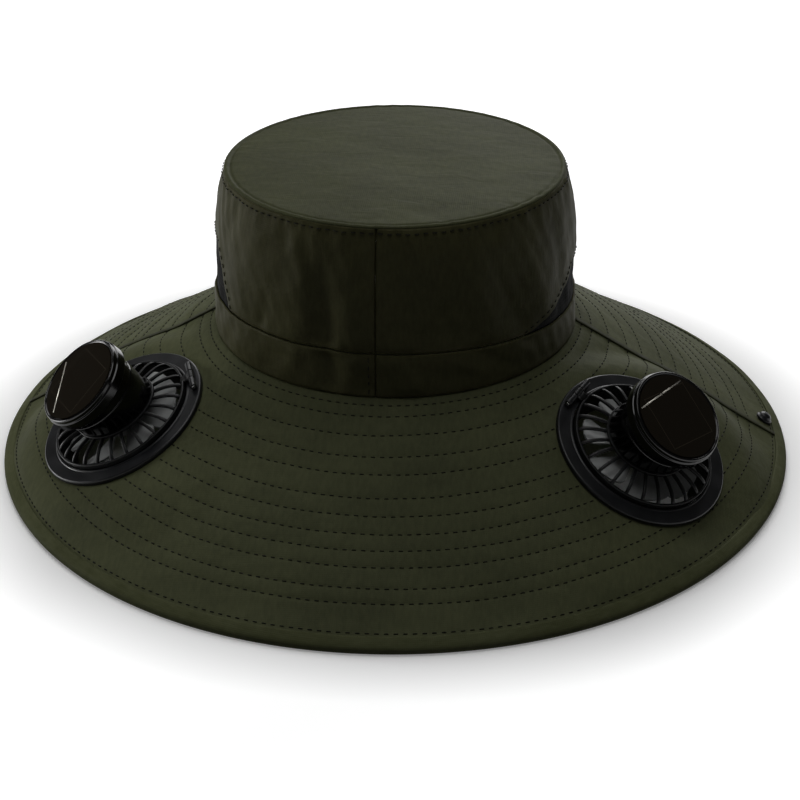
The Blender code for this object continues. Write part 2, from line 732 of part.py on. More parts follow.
def build_impeller(side, carrier):
    """Hub, shaft and pitched blades of the fan's wheel."""
    top = ROTOR_TOP
    wheel = turned(side + "_fan_impeller", (
        (0.0, top - ROTOR_HUB_HEIGHT),
        (ROTOR_HUB_RADIUS, top - ROTOR_HUB_HEIGHT),
        (ROTOR_HUB_RADIUS, top),
        (SHAFT_RADIUS, top),
        (SHAFT_RADIUS, SHAFT_TOP),
        (0.0, SHAFT_TOP),
    ), GREY_PLASTIC, steps=SMALL_STEPS * 2)
    tip = BLADE_RADIUS
    root = ROTOR_HUB_RADIUS - 2.0 * BLADE_WALL
    level = top - ROTOR_HUB_HEIGHT + BLADE_WALL

    for count in range(BLADE_COUNT):
        middle = 360.0 * count / BLADE_COUNT

        def place(across, along):
            angle = math.radians(middle + (along - 0.5) * BLADE_SPREAD)
            radius = mix(root, tip, across)
            return Vector((radius * math.cos(angle), radius * math.sin(angle), level + BLADE_PITCH * along))

        blade = sheet("blade", 1, 2, place, BLADE_WALL, GREY_PLASTIC)
        boolean(wheel, blade, "UNION")
    carry(face_outwards(wheel), carrier, SPIN_PLACE)


def build_fan(side, frame):
    """One fan: flange and clamp fixed to the brim, the head on its hinge, the impeller in the head."""
    seat = empty(side + "_fan_seat", None, (0.0, 0.0, 0.0))
    seat.matrix_world = frame
    tilt = empty(side + "_fan_tilt_axis", seat, HINGE_PLACE)
    spin = empty(side + "_fan_spin_axis", tilt, SPIN_PLACE - HINGE_PLACE)
    build_flange(side, seat)
    build_clamp_ring(side, seat)
    build_cage(side, tilt)
    build_hub(side, tilt, cap_lean(side, frame))
    build_solar_cap(side, tilt, cap_lean(side, frame))
    build_impeller(side, spin)


clear_scene()
HAT = new_collection("solar_fan_hat")
CUTTERS = new_collection("cutters")
CUTTERS.hide_render = True
NYLON = make_material("nylon_cloth", (0.040, 0.046, 0.028), 0.75)
BINDING = make_material("binding_tape", (0.036, 0.042, 0.026), 0.7)
MESH = make_material("vent_mesh", (0.012, 0.013, 0.011), 0.85)
BLACK_PLASTIC = make_material("black_plastic", (0.020, 0.021, 0.024), 0.45)
GLOSS_BLACK = make_material("gloss_black_plastic", (0.008, 0.008, 0.009), 0.12)
SOLAR_GLASS = make_material("solar_cell_resin", (0.030, 0.018, 0.012), 0.06)
GREY_PLASTIC = make_material("grey_plastic", (0.22, 0.22, 0.21), 0.5)
STEEL = make_material("pin_steel", (0.5, 0.5, 0.5), 0.3, 1.0)

build_crown()
build_band()
build_brim()
build_binding()
build_seam_laps()
build_snaps()
for fan_side, fan_place in FAN_FRAMES:
    build_fan(fan_side, fan_place)
for tool in CUTTERS.objects:
    tool.display_type = "WIRE"
    tool.hide_render = True
bpy.context.view_layer.update()
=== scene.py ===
"""Looks of the wide-brimmed sun hat with a solar fan hinged on each side of its brim.

Metres, +Z up, hat front towards -Y, brim edge resting on the floor at z = 0.
"""
import json
import math

import bmesh
import bpy
import numpy as np
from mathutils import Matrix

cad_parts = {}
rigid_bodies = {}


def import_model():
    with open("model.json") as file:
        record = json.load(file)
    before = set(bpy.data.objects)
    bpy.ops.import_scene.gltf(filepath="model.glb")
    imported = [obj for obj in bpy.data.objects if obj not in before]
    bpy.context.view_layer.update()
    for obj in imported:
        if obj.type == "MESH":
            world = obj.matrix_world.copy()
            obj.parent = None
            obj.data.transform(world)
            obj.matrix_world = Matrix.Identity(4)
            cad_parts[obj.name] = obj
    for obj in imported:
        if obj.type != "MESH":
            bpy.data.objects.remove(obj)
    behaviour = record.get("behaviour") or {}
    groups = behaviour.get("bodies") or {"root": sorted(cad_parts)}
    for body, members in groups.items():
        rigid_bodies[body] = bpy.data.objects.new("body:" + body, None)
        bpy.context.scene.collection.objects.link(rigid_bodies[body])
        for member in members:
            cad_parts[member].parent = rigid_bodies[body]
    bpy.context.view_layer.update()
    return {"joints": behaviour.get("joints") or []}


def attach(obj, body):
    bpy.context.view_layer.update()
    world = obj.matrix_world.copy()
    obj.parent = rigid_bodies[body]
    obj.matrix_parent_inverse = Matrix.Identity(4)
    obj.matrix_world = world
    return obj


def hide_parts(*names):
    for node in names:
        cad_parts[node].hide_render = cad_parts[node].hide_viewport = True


for item in list(bpy.data.objects):
    bpy.data.objects.remove(item, do_unlink=True)
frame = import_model()

MM = 0.001
X_WAY, Y_WAY, UP = np.eye(3)

# Sizes of the hat that the solids have too
HEAD_HALF_WIDTH = 0.088
HEAD_HALF_LENGTH = 0.095
CROWN_FOOT = 0.064758
CROWN_HEIGHT = 0.080
TIP_HALF_WIDTH = 0.0805
TIP_HALF_LENGTH = 0.0865
TIP_FORWARD = 0.004
TIP_RISE = 0.002
WALL_TAPER = 0.0025
SHOULDER_POWER = 6.0
CLOTH_WALL = 0.0012
MESH_WALL = 0.0009
TIP_WALL = 0.0010
BAND_HEIGHT = 0.0215
BAND_DIPS = {"left": 0.0010, "right": 0.0045}
BAND_WALL = 0.0015
BRIM_WIDTH = 0.1235
BRIM_WALL = 0.0020
SLOPE = math.radians(30.0)
SEAM_GAP = 0.005
SNAPS = (("left", -99.0, 0.1050), ("right", 93.5, 0.1130))

# Side vents: hand, where the front edge starts and ends in degrees, top in metres, flat size and area
VENT_COLUMNS = ("hand", "front_foot", "front_top", "top", "flat", "area")
VENTS = {
    "left": (-1.0, 57.0, 70.0, 0.048, (0.112, 0.028), 0.00240),
    "right": (1.0, 50.0, 81.0, 0.036, (0.133, 0.020), 0.00155),
}

# Rows of points up a wall: beside the vents, and from their top to the tip, as shares of each height
VENT_ROWS = np.linspace(0.0, 1.0, 28)
UPPER_ROWS = np.linspace(0.0, 1.0, 40)[1:] ** 0.9
VENT_SIDE_COLUMNS = 9

# Rows of quilting stitches, as distances down the brim in millimetres
QUILT_ROWS = (4.0, 10.0, 20.0, 31.0, 40.0, 52.0, 61.0, 70.0, 78.0, 86.0, 96.0, 103.0, 116.6)
GROOVE_DEPTH = 0.34 * MM
GROOVE_WIDTH = 0.9 * MM
STITCH_PITCH = 0.0040
STITCH_LENGTH = 0.0022
THREAD_RADIUS = 0.00029

# Soft folds of the crown's wall: degrees round the head, height, half width, half length, lean in
# degrees and depth, in millimetres, with a positive depth standing out
FOLD_COLUMNS = ("angle", "height", "width", "length", "lean", "depth")
FOLD_SHARE = 0.90
FOLDS = (
    (-15.5, 34.0, 5.5, 26.0, 4.0, -2.7),
    (-24.0, 40.0, 8.0, 30.0, -6.0, 1.5),
    (-7.0, 32.0, 6.0, 26.0, 3.0, 1.3),
    (-21.0, 66.0, 3.5, 12.0, 14.0, -0.9),
    (-29.0, 69.0, 3.5, 9.0, -10.0, -0.6),
    (-38.0, 29.0, 4.0, 9.0, -18.0, -1.0),
    (-46.0, 44.0, 9.0, 26.0, -10.0, 0.9),
    (-60.0, 50.0, 8.0, 26.0, -14.0, -1.0),
    (10.0, 40.0, 8.0, 24.0, -6.0, 0.8),
    (22.0, 31.0, 3.5, 10.0, 10.0, -1.1),
    (31.0, 44.0, 10.0, 28.0, 10.0, 1.0),
    (43.0, 34.0, 7.0, 24.0, 26.0, -1.4),
    (56.0, 40.0, 8.0, 28.0, 26.0, 1.5),
    (66.0, 58.0, 5.0, 18.0, 20.0, -1.2),
    (36.0, 14.0, 3.0, 12.0, 58.0, -0.8),
    (28.0, 12.0, 3.0, 11.0, 62.0, 0.6),
    (47.0, 15.0, 3.0, 11.0, 50.0, 0.7),
    (-12.5, 12.0, 5.0, 11.0, 6.0, -0.9),
    (-26.0, 13.0, 5.0, 11.0, -18.0, 0.6),
    (120.0, 45.0, 9.0, 28.0, 8.0, -1.4),
    (142.0, 40.0, 10.0, 28.0, -8.0, 1.2),
    (165.0, 38.0, 8.0, 30.0, 6.0, -1.5),
    (-172.0, 42.0, 9.0, 30.0, -6.0, 1.1),
    (-150.0, 40.0, 8.0, 28.0, 8.0, -1.5),
    (-125.0, 44.0, 9.0, 28.0, -10.0, 1.2),
)

# Fan sizes, in the fan's own frame with its origin on the flange's top
BRIM_HOLE = 0.0362
STITCH_KEEP_OUT = 0.0428
SEAT_INNER = 0.0436
SEAT_OUTER = 0.0600
SEAT_SPREAD = 0.0300
SEAT_LEVEL = -0.0025
ROTOR_TOP = 0.0038
HINGE_RADIUS = 0.0382
HINGE_HEIGHT = 0.0019
KNUCKLE_RADIUS = 0.0016
ARM_HALF = 0.0026
HINGE_HALF = 0.0098
KNUCKLE_GAP = 0.0004
RIB_COUNT = 26
RIB_PHASE = 0.5
RIB_FOOT = 0.0188
RIB_REACH = 0.03345
DECK_HEIGHT = 0.0066
HUB_FOOT = 0.0069
HUB_TOP = 0.0229
CAP_TOP = 0.0308
CAP_LEANS = {"left": math.radians(15.5), "right": math.radians(11.5)}
CELL_SQUARE = 0.0128
BLADE_COUNT = 7
BLADE_SPREAD = 43.0
BLADE_ROOT = 0.0078
BLADE_RADIUS = 0.0288

# Ends of each cell's silver line in the cap's plane, in millimetres down the slope of the cap and across it
BUS_LINES = {
    "left": ((-1.6, -18.7), (18.6, 1.3)),
    "right": ((-10.0, -16.9), (-14.0, 12.5)),
}

# Area lamps: place, size and power
LIGHTS = {
    "top": ((0.0, -0.15, 2.10), 1.2, 10.5),
    "key": ((-0.72, 1.44, 1.78), 1.3, 10.0),
    "left": ((-2.10, 0.30, 0.26), 0.6, 15.0),
    "back": ((0.30, 2.00, 1.00), 1.2, 17.0),
}


def hex_colour(code):
    """sRGB hex to linear colour."""
    share = np.array([int(code[place:place + 2], 16) for place in (0, 2, 4)]) / 255.0
    linear = np.where(share <= 0.04045, share / 12.92, ((share + 0.055) / 1.055) ** 2.4)
    return (*linear.tolist(), 1.0)


# Numbers and shapes

def smoothstep(low, high, value):
    """0 below low, 1 above high and a smooth ramp, 3t^2 - 2t^3, between them; low may be the larger."""
    share = np.clip((value - low) / (high - low), 0.0, 1.0)
    return share * share * (3.0 - 2.0 * share)


def mix(start, end, share):
    return start + (end - start) * share


def unit(vectors):
    return vectors / np.linalg.norm(vectors, axis=-1, keepdims=True)


def random_waves(seed, waves):
    """Random headings, stretches and starts of some waves."""
    rng = np.random.default_rng(seed)
    return (rng.uniform(0.0, 2.0 * np.pi, waves), rng.uniform(0.7, 1.6, waves),
            rng.uniform(0.0, 2.0 * np.pi, waves))


def wave_sum(phase):
    """Sum of the sines of some phases, scaled to about -1 to 1."""
    return np.sin(phase).sum(axis=-1) / math.sqrt(2.0 * phase.shape[-1]) / 1.2


def soft_noise(across, along, size, seed, waves=9):
    """Sum of sine waves of random headings and wavelengths near a size, about -1 to 1."""
    heading, stretch, start = random_waves(seed, waves)
    phase = (across[..., None] * np.cos(heading) + along[..., None] * np.sin(heading)) / (size * stretch)
    return wave_sum(2.0 * np.pi * phase + start)


def ring_noise(angle, height, size, seed, waves=9):
    """Sum of sin(n a + k h + start) with whole n, so that it closes round the head, about -1 to 1."""
    heading, stretch, start = random_waves(seed, waves)
    turns = np.round(2.0 * np.pi * HEAD_HALF_LENGTH * np.cos(heading) / (size * stretch))
    climb = 2.0 * np.pi * np.sin(heading) / (size * stretch)
    return wave_sum(turns * angle[..., None] + climb * height[..., None] + start)


def grid_faces(rows, columns, round_rows=False, round_columns=False):
    """Quads of a grid of points stored row by row; a round direction joins its last line to its first."""
    row = np.arange(rows if round_rows else rows - 1)
    column = np.arange(columns if round_columns else columns - 1)
    row, column = np.meshgrid(row, column, indexing="ij")
    next_row = (row + 1) % rows
    next_column = (column + 1) % columns
    return np.stack([row * columns + column, row * columns + next_column,
                     next_row * columns + next_column, next_row * columns + column], axis=-1).reshape(-1, 4)


def trimmed(points, faces):
    """The points that faces use, the faces renumbered to them, and which points they are."""
    used = np.unique(faces)
    renumber = np.zeros(len(points), dtype=np.int64)
    renumber[used] = np.arange(len(used))
    return (points[used], renumber[faces]), used


def join(parts):
    """Several (points, faces) as one."""
    offsets = np.cumsum([0] + [len(points) for points, _ in parts[:-1]])
    return (np.concatenate([points for points, _ in parts]),
            np.concatenate([faces + offset for (_, faces), offset in zip(parts, offsets)]))


def shell(outer, inner):
    """Closed shell from two grids of points: the outer face, the inner one turned over, and four strips."""
    rows, columns = outer.shape[:2]
    count = rows * columns
    faces = grid_faces(rows, columns)
    index = np.arange(count).reshape(rows, columns)
    rim = np.concatenate([index[0, :-1], index[:-1, -1], index[-1, :0:-1], index[:0:-1, 0]])
    after = np.roll(rim, -1)
    strip = np.stack([after, rim, rim + count, after + count], axis=-1)
    return (np.concatenate([outer.reshape(-1, 3), inner.reshape(-1, 3)]),
            np.concatenate([faces, faces[:, ::-1] + count, strip]))


def rounded(profile, radius, steps=4, closed=True):
    """A profile with each corner P replaced by the curve (1-t)^2 A + 2t(1-t) P + t^2 B, where A and B lie
    a radius away from P along its two edges, and with a support point just beyond A and B."""
    profile = np.asarray(profile, dtype=float)
    count = len(profile)
    share = np.linspace(0.0, 1.0, steps + 1)[:, None]
    places = []
    for number, corner in enumerate(profile):
        if not closed and number in (0, count - 1):
            places.append(corner[None])
            continue
        before = profile[number - 1] - corner
        after = profile[(number + 1) % count] - corner
        back = np.linalg.norm(before)
        ahead = np.linalg.norm(after)
        reach = min(radius, 0.42 * back, 0.42 * ahead)
        start = corner + before * reach / back
        end = corner + after * reach / ahead
        curve = (1.0 - share) ** 2 * start + 2.0 * share * (1.0 - share) * corner + share ** 2 * end
        support = min(0.12 * reach, 0.00005)
        places.append(np.concatenate([start[None] + before * support / back, curve,
                                      end[None] + after * support / ahead]))
    return np.concatenate(places)


def lathe(profile, steps=128, closed=True):
    """A profile of (radius, height) turned round Z: x = r cos a, y = r sin a."""
    angle = 2.0 * np.pi * np.arange(steps) / steps
    points = np.stack([profile[:, 0] * np.cos(angle)[:, None], profile[:, 0] * np.sin(angle)[:, None],
                       np.broadcast_to(profile[:, 1], (steps, len(profile)))], axis=-1)
    return points.reshape(-1, 3), grid_faces(steps, len(profile), round_rows=True, round_columns=closed)


def turned(profile, radius, steps, closed=True):
    """A profile in millimetres, its corners rounded by a radius in millimetres, turned round Z."""
    return lathe(rounded(np.array(profile) * MM, radius * MM, closed=closed), steps, closed)


def sweep(path, across, up, section):
    """A closed section of (across, up) offsets carried along a path, with flat ends."""
    across, up = np.broadcast_to(across, path.shape), np.broadcast_to(up, path.shape)
    rows = path[:, None] + section[None, :, :1] * across[:, None] + section[None, :, 1:] * up[:, None]
    count, corners = rows.shape[:2]
    parts = [(rows.reshape(-1, 3), grid_faces(count, corners, round_columns=True))]
    here = np.arange(corners)
    hub = np.full(corners, corners)
    fan = np.stack([here, (here + 1) % corners, hub, hub], axis=-1)
    for line, order in ((rows[0], -1), (rows[-1], 1)):
        parts.append((np.concatenate([line[::order], line.mean(axis=0, keepdims=True)]), fan))
    return join(parts)


def oval(half_width, half_height, steps=8, power=1.0):
    """Closed section: (w cos a, h sin a), with each part raised to a power below 1 to square it."""
    angle = 2.0 * np.pi * np.arange(steps) / steps
    across = np.sign(np.cos(angle)) * np.abs(np.cos(angle)) ** power
    up = np.sign(np.sin(angle)) * np.abs(np.sin(angle)) ** power
    return np.stack([half_width * across, half_height * up], axis=-1)


def put(name, shape, material, node=None, body="hat", cloth_map=None, sharp=None):
    """Make a mesh of points and faces into a piece that rides on a body, takes its finish from a slot and
    stands for a CAD node."""
    points, faces = shape
    mesh = bpy.data.meshes.new(name)
    mesh.from_pydata(points.tolist(), [], [tuple(dict.fromkeys(face)) for face in faces.tolist()])
    if cloth_map is not None:
        layer = mesh.uv_layers.new(name="cloth")
        corner = np.empty(len(mesh.loops), dtype=np.int32)
        mesh.loops.foreach_get("vertex_index", corner)
        layer.data.foreach_set("uv", cloth_map.reshape(-1, 2)[corner].astype(np.float32).ravel())
    else:
        bm = bmesh.new()
        bm.from_mesh(mesh)
        bmesh.ops.remove_doubles(bm, verts=bm.verts, dist=1e-6)
        bmesh.ops.recalc_face_normals(bm, faces=bm.faces)
        bm.to_mesh(mesh)
        bm.free()
    mesh.polygons.foreach_set("use_smooth", np.ones(len(mesh.polygons), dtype=bool))
    if sharp is not None:
        mesh.set_sharp_from_angle(angle=math.radians(sharp))
    mesh.materials.append(material)
    piece = bpy.data.objects.new(name, mesh)
    bpy.context.scene.collection.objects.link(piece)
    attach(piece, body)
    if node:
        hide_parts(node)
    return piece


def put_cloth(name, shape, material, node, cloth_map, thickness):
    """Make a single face of cloth into a piece, with its wall on the inside."""
    piece = put(name, shape, material, node, cloth_map=cloth_map)
    wall = piece.modifiers.new("wall", "SOLIDIFY")
    wall.thickness = thickness
    wall.offset = -1.0
    return piece


# Materials

def add_node(tree, kind, output, inputs=(), **settings):
    """Add a node and return one of its outputs: settings are its properties, and inputs are socket values
    or the sockets that feed them."""
    node = tree.nodes.new("ShaderNode" + kind)
    for name, value in settings.items():
        setattr(node, name, value)
    for key, value in dict(inputs).items():
        if isinstance(value, bpy.types.NodeSocket):
            tree.links.new(value, node.inputs[key])
        else:
            node.inputs[key].default_value = value
    return node.outputs[output]


def math_node(tree, operation, *values):
    """A Math node over its values."""
    return add_node(tree, "Math", "Value", dict(enumerate(values)), operation=operation)


def noise_node(tree, place, size, **inputs):
    """Noise of a feature size in metres."""
    return add_node(tree, "TexNoise", "Fac", {"Vector": place, "Scale": 1.0 / size, **inputs})


def bump_node(tree, height, strength, distance, under=None):
    """Bump of a height over a distance in metres, laid over another bump."""
    inputs = {"Height": height, "Strength": strength, "Distance": distance}
    if under is not None:
        inputs["Normal"] = under
    return add_node(tree, "Bump", "Normal", inputs)


def colour_between(tree, factor, low, high, dark, light):
    """Ramp from a dark to a light hex colour as a factor goes from low to high."""
    colour = add_node(tree, "ValToRGB", "Color", {"Fac": factor})
    for element, position, code in zip(colour.node.color_ramp.elements, (low, high), (dark, light)):
        element.position = position
        element.color = hex_colour(code)
    return colour


def new_material(name, **sockets):
    """A material with its Principled shader's constants set on the shader's own sockets."""
    material = bpy.data.materials.new(name)
    material.use_nodes = True
    shader = material.node_tree.nodes["Principled BSDF"]
    for key, value in sockets.items():
        shader.inputs[key.replace("_", " ")].default_value = value
    return material, material.node_tree, shader


def feed(tree, shader, **sources):
    """Link sockets to a shader's inputs."""
    for key, source in sources.items():
        tree.links.new(source, shader.inputs[key.replace("_", " ")])


def wave_scale(period):
    """Scale that gives a Wave texture a period in metres: its bands repeat every 2 pi / 20 at scale 1."""
    return 2.0 * math.pi / 20.0 / period


def nylon(name, dark, light, roughness=0.62):
    """Woven nylon taffeta: matt with a slight silky sheen. Its yarns are about 0.2 mm apart, drawn 0.9 mm
    apart so that they show, with uneven slubs, faint crinkles and a slow change of shade."""
    material, tree, shader = new_material(name, Roughness=roughness, IOR=1.50, Specular_IOR_Level=0.04)
    place = add_node(tree, "UVMap", "UV", uv_map="cloth")
    warp, weft = (add_node(tree, "TexWave", "Fac", {"Vector": place, "Scale": wave_scale(0.9 * MM),
                                                    "Distortion": 0.6, "Detail": 1.0, "Detail Scale": 3.0},
                           bands_direction=way) for way in "XY")
    weave = math_node(tree, "ADD", warp, weft)
    slub_place = add_node(tree, "Mapping", "Vector", {"Vector": place, "Scale": (1.0, 0.35, 1.0)})
    slubs = noise_node(tree, slub_place, 2.2 * MM, Detail=3.0, Roughness=0.6)
    crinkle_place = add_node(tree, "Mapping", "Vector", {"Vector": place, "Scale": (0.55, 1.0, 1.0)})
    crinkle = noise_node(tree, crinkle_place, 11.0 * MM, Detail=2.5, Distortion=0.5)
    shade = noise_node(tree, place, 38.0 * MM, Detail=2.0)
    tone = math_node(tree, "MULTIPLY", math_node(tree, "ADD", slubs, shade), 0.5)
    bump = bump_node(tree, weave, 0.35, 0.06 * MM)
    bump = bump_node(tree, slubs, 0.5, 0.25 * MM, bump)
    bump = bump_node(tree, crinkle, 0.55, 1.1 * MM, bump)
    feed(tree, shader, Base_Color=colour_between(tree, tone, 0.34, 0.66, dark, light), Normal=bump)
    return material


def knitted_mesh(name):
    """Warp-knitted polyester mesh: soft, nearly black, with rows of small round eyelets 1.8 mm apart."""
    material, tree, shader = new_material(name, Roughness=0.85, IOR=1.50, Specular_IOR_Level=0.1)
    place = add_node(tree, "UVMap", "UV", uv_map="cloth")
    eyelet = add_node(tree, "TexVoronoi", "Distance", {"Vector": place, "Scale": 1.0 / (1.8 * MM),
                                                       "Randomness": 0.25})
    feed(tree, shader, Base_Color=colour_between(tree, eyelet, 0.25, 0.55, "060606", "191A18"),
         Normal=bump_node(tree, eyelet, 0.6, 0.3 * MM))
    return material


def moulded(name, dark, light, roughness, grain=0.5 * MM, depth=0.03 * MM, **sockets):
    """A hard or closely bound surface: a fine grain, drawn 0.5 mm coarse so that it shows, and slight
    mottling of colour and gloss."""
    material, tree, shader = new_material(name, Roughness=roughness, IOR=1.53, **sockets)
    place = add_node(tree, "TexCoord", "Object")
    fine = noise_node(tree, place, grain, Detail=2.0)
    broad = noise_node(tree, place, 9.0 * MM, Detail=3.0)
    gloss = add_node(tree, "MapRange", "Result", {"Value": broad, "From Min": 0.3, "From Max": 0.7,
                                                  "To Min": roughness * 0.85, "To Max": roughness * 1.15})
    feed(tree, shader, Base_Color=colour_between(tree, broad, 0.35, 0.65, dark, light), Roughness=gloss,
         Normal=bump_node(tree, fine, 0.5, depth))
    return material


# The brim, tip and wall copies of one taffeta differ only in colour, each set to how bright its part looks:
# painted light and shade. The brim copy is lightest and the tip copy darker. The copy for the wall and band
# is darkest and browner, as painted shade.
NYLON = nylon("olive_nylon_taffeta", "464934", "54573E")
NYLON_TIP = nylon("olive_nylon_taffeta_tip", "3E402C", "4A4D33")
NYLON_WALL_PAINTED_SHADE = nylon("olive_nylon_taffeta_wall_painted_shade", "3C3B25", "4A492F", roughness=0.56)
# The lap's copy of the taffeta is darker than the brim's: painted shade along the seam's fold.
NYLON_LAP_PAINTED_SHADE = moulded("olive_nylon_fold_painted_shade", "343627", "414330", 0.62, grain=0.9 * MM, depth=0.08 * MM,
                    Specular_IOR_Level=0.1)
TAPE = nylon("woven_binding_tape", "45482F", "54573E", roughness=0.68)
MESH = knitted_mesh("knitted_polyester_mesh")
# Thread darker than the cloth: painted shade of the needle holes and the groove round each stitch.
THREAD = moulded("spun_polyester_thread_painted_shade", "13130C", "1E1E14", 0.7, Specular_IOR_Level=0.1)
SATIN_BLACK = moulded("satin_moulded_abs", "101113", "17181B", 0.36, Specular_IOR_Level=0.38)
GLOSS_BLACK = moulded("glossy_moulded_abs", "030303", "060607", 0.12, depth=0.006 * MM,
                      Specular_IOR_Level=0.40)
# Darker, less glossy copy of the flange's black plastic for the cage: painted shade that keeps the ribs dark
# under the top light.
CAGE_BLACK_PAINTED_SHADE = moulded("dark_moulded_abs_painted_shade", "090A0A", "0E0F10", 0.40, Specular_IOR_Level=0.25)
# The wheel's pale grey stands in for the light that shows through the grille's gaps: painted light.
PALE_PLASTIC_PAINTED_LIGHT = moulded("pale_grey_polypropylene_painted_light", "969897", "ACAEAD", 0.42)
PIN = moulded("nickel_plated_steel", "A8A8A6", "C4C4C2", 0.22, Metallic=1.0)
RIBBON = moulded("tinned_copper_ribbon", "C9C4B8", "DAD6CB", 0.30, Metallic=1.0)


# Shape of the cloth

def head_ring(angle):
    """Points (w sin a, -l cos a) of the oval where the brim meets the crown, and the level way out of it."""
    ring = np.stack([HEAD_HALF_WIDTH * np.sin(angle), -HEAD_HALF_LENGTH * np.cos(angle),
                     np.full_like(angle, CROWN_FOOT)], axis=-1)
    away = np.stack([np.sin(angle) / HEAD_HALF_WIDTH, -np.cos(angle) / HEAD_HALF_LENGTH,
                     np.zeros_like(angle)], axis=-1)
    return ring, unit(away)


def brim_frame(angle):
    """The oval's points and the way out of it, the way down the brim and the way the brim's top faces."""
    ring, away = head_ring(angle)
    down = away * math.cos(SLOPE) - UP * math.sin(SLOPE)
    facing = away * math.sin(SLOPE) + UP * math.cos(SLOPE)
    return ring, away, down, facing


def fan_place(side):
    """Origin and the rows X, Y, Z of a fan's frame, from its two joints: Z is the spin axis, Y is against
    the tilt axis, and X = Y x Z points away from the hinge."""
    joints = {joint["name"]: joint for joint in frame["joints"]}
    spin = joints[side + "_fan_spin"]
    tilt = joints[side + "_fan_tilt"]
    z_axis = unit(np.array(spin["axis"], dtype=float))
    y_axis = unit(-np.array(tilt["axis"], dtype=float))
    x_axis = np.cross(y_axis, z_axis)
    return np.array(spin["pos_m"]) - z_axis * ROTOR_TOP, np.stack([x_axis, y_axis, z_axis])


FANS = {side: fan_place(side) for side in ("left", "right")}


def cap_place(side):
    """A fan's frame leaned about the level line k through its deck: v cos t + (k x v) sin t
    + k (k . v)(1 - cos t)."""
    origin, axes = FANS[side]
    level = unit(np.cross(UP, axes[2]))
    pivot = origin + axes[2] * DECK_HEIGHT
    turn = CAP_LEANS[side]

    def lean(vectors):
        along = (vectors @ level)[..., None] * level
        return (vectors * math.cos(turn) + np.cross(level, vectors) * math.sin(turn)
                + along * (1.0 - math.cos(turn)))
    return pivot + lean(origin - pivot), lean(axes)


CAPS = {side: cap_place(side) for side in FANS}


def fan_radius(points, origin, axes):
    """Distance of points from a fan's axis, and their height along it."""
    local = (points - origin) @ axes.T
    return np.hypot(local[..., 0], local[..., 1]), local[..., 2]


def brim_relief(angle, reach):
    """Grooves -0.34 exp(-(d/0.9)^2) mm at the stitch rows with the cloth puffed between them, short puckers
    across each row, and slow waves, all fading out at the edge, and the waves at the side seams too."""
    arc = angle * (HEAD_HALF_WIDTH + reach * math.cos(SLOPE))
    relief = np.zeros_like(reach)
    for number, row in enumerate(QUILT_ROWS):
        away = reach - row * MM
        pucker = soft_noise(arc, np.zeros_like(arc), 0.0065, 40 + number, waves=5)
        relief += -GROOVE_DEPTH * np.exp(-(away / GROOVE_WIDTH) ** 2)
        relief += 0.10 * MM * pucker * np.exp(-(away / (3.2 * MM)) ** 2)
    waves = 1.1 * MM * soft_noise(arc, reach, 0.095, 7) + 0.28 * MM * soft_noise(arc, reach, 0.028, 8)
    from_seam = np.abs(np.cos(angle)) * (HEAD_HALF_WIDTH + np.maximum(reach, 0.0))
    relief += waves * smoothstep(0.0, 0.018, reach) * smoothstep(0.003, 0.014, from_seam)
    return relief * smoothstep(0.1195, 0.1120, reach) * smoothstep(-0.0005, 0.002, reach)


def brim_face(angle, reach, lift=0.0, plain=False):
    """The brim's top face: down the 30 degree slope from the head's oval, pressed flat under each fan."""
    ring, away, down, facing = brim_frame(angle)
    place = ring + away * np.minimum(reach, 0.0)[..., None] + down * np.maximum(reach, 0.0)[..., None]
    calm = np.ones_like(reach)
    for origin, axes in FANS.values():
        radius, height = fan_radius(place, origin, axes)
        tangent = unit(np.cross(UP, axes[2]))
        sideways = ((place - origin) @ tangent / np.maximum(radius, 1e-6)) ** 2
        press = smoothstep(SEAT_OUTER + SEAT_SPREAD * np.clip(sideways, 0.0, 1.0), SEAT_INNER, radius)
        place = place + ((SEAT_LEVEL - height) * press)[..., None] * axes[2]
        calm = calm * (1.0 - press)
    rise = lift + (0.0 if plain else brim_relief(angle, reach) * calm)
    return place + facing * np.broadcast_to(rise, reach.shape)[..., None]


def band_top(angle):
    """Height of the band's top edge: dips by d sin^2 a towards each side."""
    across = np.sin(angle)
    return BAND_HEIGHT - np.where(across > 0.0, BAND_DIPS["right"], BAND_DIPS["left"]) * across ** 2


def wall_relief(angle, height):
    """Folds d exp(-(u/w)^2 - (v/l)^2) of the table, gathers under the tip's seam and above the band's, and
    small uneven crinkles, in millimetres, as an outward offset."""
    degrees = np.degrees(angle)
    relief = np.zeros_like(height)
    for row in FOLDS:
        fold = dict(zip(FOLD_COLUMNS, row))
        round_by = (degrees - fold["angle"] + 180.0) % 360.0 - 180.0
        across = math.radians(1.0) * round_by * HEAD_HALF_LENGTH / MM
        up = height / MM - fold["height"]
        lean = math.radians(fold["lean"])
        u = across * math.cos(lean) + up * math.sin(lean)
        v = up * math.cos(lean) - across * math.sin(lean)
        relief += FOLD_SHARE * fold["depth"] * np.exp(-(u / fold["width"]) ** 2 - (v / fold["length"]) ** 2)
    level = height * 0.5
    from_band = np.abs(height - band_top(angle))
    near_tip = np.exp(-(CROWN_HEIGHT - height) / (7.0 * MM))
    near_band = np.exp(-from_band / (5.0 * MM))
    relief += 0.65 * near_tip * ring_noise(angle, level, 0.0085, 21)
    relief += 0.60 * near_band * ring_noise(angle, level, 0.010, 22)
    relief += 0.60 * ring_noise(angle, level, 0.030, 23) + 0.26 * ring_noise(angle, height, 0.011, 24)
    hold = smoothstep(CROWN_HEIGHT, CROWN_HEIGHT - 0.004, height)
    hold *= mix(0.35, 1.0, smoothstep(0.0, 0.004, from_band))
    hold *= smoothstep(0.0, 0.005, height)
    return relief * MM * hold


